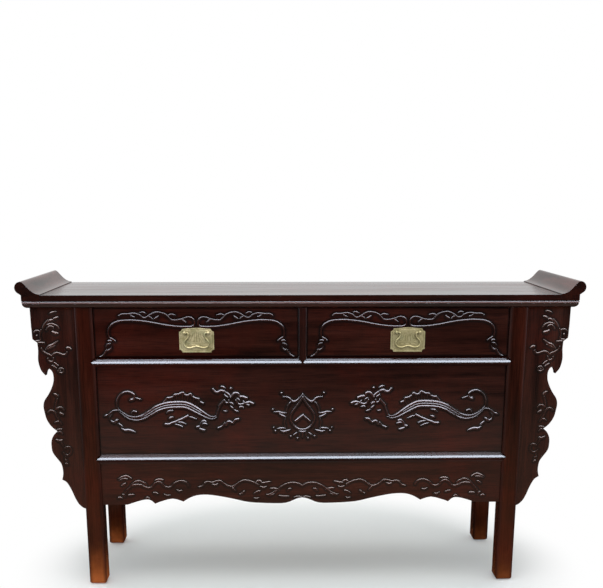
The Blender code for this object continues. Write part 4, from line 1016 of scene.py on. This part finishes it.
def sheet(name, low, high, material):
    (x0, y0, z0), (x1, y1, z1) = low, high
    mesh = bpy.data.meshes.new(name)
    mesh.from_pydata([(x0, y0, z0), (x1, y0, z0), (x1, y1, z1), (x0, y1, z1)], [], [(0, 1, 2, 3)])
    mesh.materials.append(material)
    made = bpy.data.objects.new(name, mesh)
    scene.collection.objects.link(made)
    return made


def makeFloor():
    half = studio["floorSize"]
    made, tree, shader, coords = newMaterial("floorPaper")
    tree.nodes.remove(shader)
    wide, deep = studio["clear"]
    oval = stretched(tree, coords, (1 / wide, 1 / deep, 0.0))
    far = addNode(tree, "ShaderNodeVectorMath", {0: oval}, operation="LENGTH").outputs["Value"]
    near, end = studio["fade"]
    fade = addNode(tree, "ShaderNodeMapRange", {"Value": far, "From Min": near, "From Max": end},
                   interpolation_type="SMOOTHSTEP")
    paper = addNode(tree, "ShaderNodeBsdfDiffuse", {"Color": (*studio["floorColor"], 1.0)})
    glow = addNode(tree, "ShaderNodeEmission", {"Color": (*white, 1.0), "Strength": 1.0})
    share = math2(tree, "MULTIPLY", fade.outputs["Result"], seenRays(tree))
    mix = addNode(tree, "ShaderNodeMixShader", {0: share, 1: paper.outputs[0], 2: glow.outputs[0]})
    tree.links.new(mix.outputs[0], tree.nodes["Material Output"].inputs["Surface"])
    floor = sheet("floor", (-half, -half, 0), (half, half, 0), made)


def makeCards():
    felt, _, shader, _ = newMaterial("felt")
    shader.inputs["Base Color"].default_value = (reflectionShadeTone, reflectionShadeTone, reflectionShadeTone, 1.0)
    shader.inputs["Specular IOR Level"].default_value = 0.0
    for name, (low, high) in darkCards.items():
        card = sheet(name, low, high, felt)
        for kind in ("camera", "diffuse", "transmission", "shadow"):
            setattr(card, "visible_" + kind, False)


def areaLight(name, place, aim, size, power):
    data = bpy.data.lights.new(name, "AREA")
    data.shape = "RECTANGLE"
    data.size, data.size_y = size
    data.energy = power
    lamp = bpy.data.objects.new(name, data)
    lamp.location = place
    lamp.rotation_mode = "QUATERNION"
    lamp.rotation_quaternion = (Vector(aim) - Vector(place)).to_track_quat("-Z", "Y")
    scene.collection.objects.link(lamp)
    lamp.visible_camera = False
    return lamp


def makeLight():
    world = bpy.data.worlds.new("studio")
    scene.world = world
    world.use_nodes = True
    tree = world.node_tree
    sky = tree.nodes["Background"]
    sky.inputs["Color"].default_value = (*white, 1.0)
    tree.links.new(remap(tree, seenRays(tree), 0.0, 1.0, studio["ambient"], 1.0), sky.inputs["Strength"])
    soft = areaLight("softbox", **studio["softbox"])
    soft.visible_glossy = False
    groups = {kind: bpy.data.collections.new(kind) for kind in ("lacquered", "brassware")}
    for thing in scene.collection.all_objects:
        if thing.type == "MESH":
            kind = "brassware" if thing.data.materials[0].name.startswith("brass") else "lacquered"
            groups[kind].objects.link(thing)
    for kind, color, share in (("lacquered", skyTint, 1.0), ("brassware", white, brassShare)):
        for name, panel in mirrored.items():
            width, height = panel["size"]
            power = panel["radiance"] * math.pi * width * height * share
            lamp = areaLight(name + "_" + kind, panel["place"], panel["aim"], panel["size"], power)
            lamp.data.color = color
            lamp.visible_diffuse = False
            lamp.light_linking.receiver_collection = groups[kind]


makeFloor()
makeCards()
makeLight()
print("studio lit")
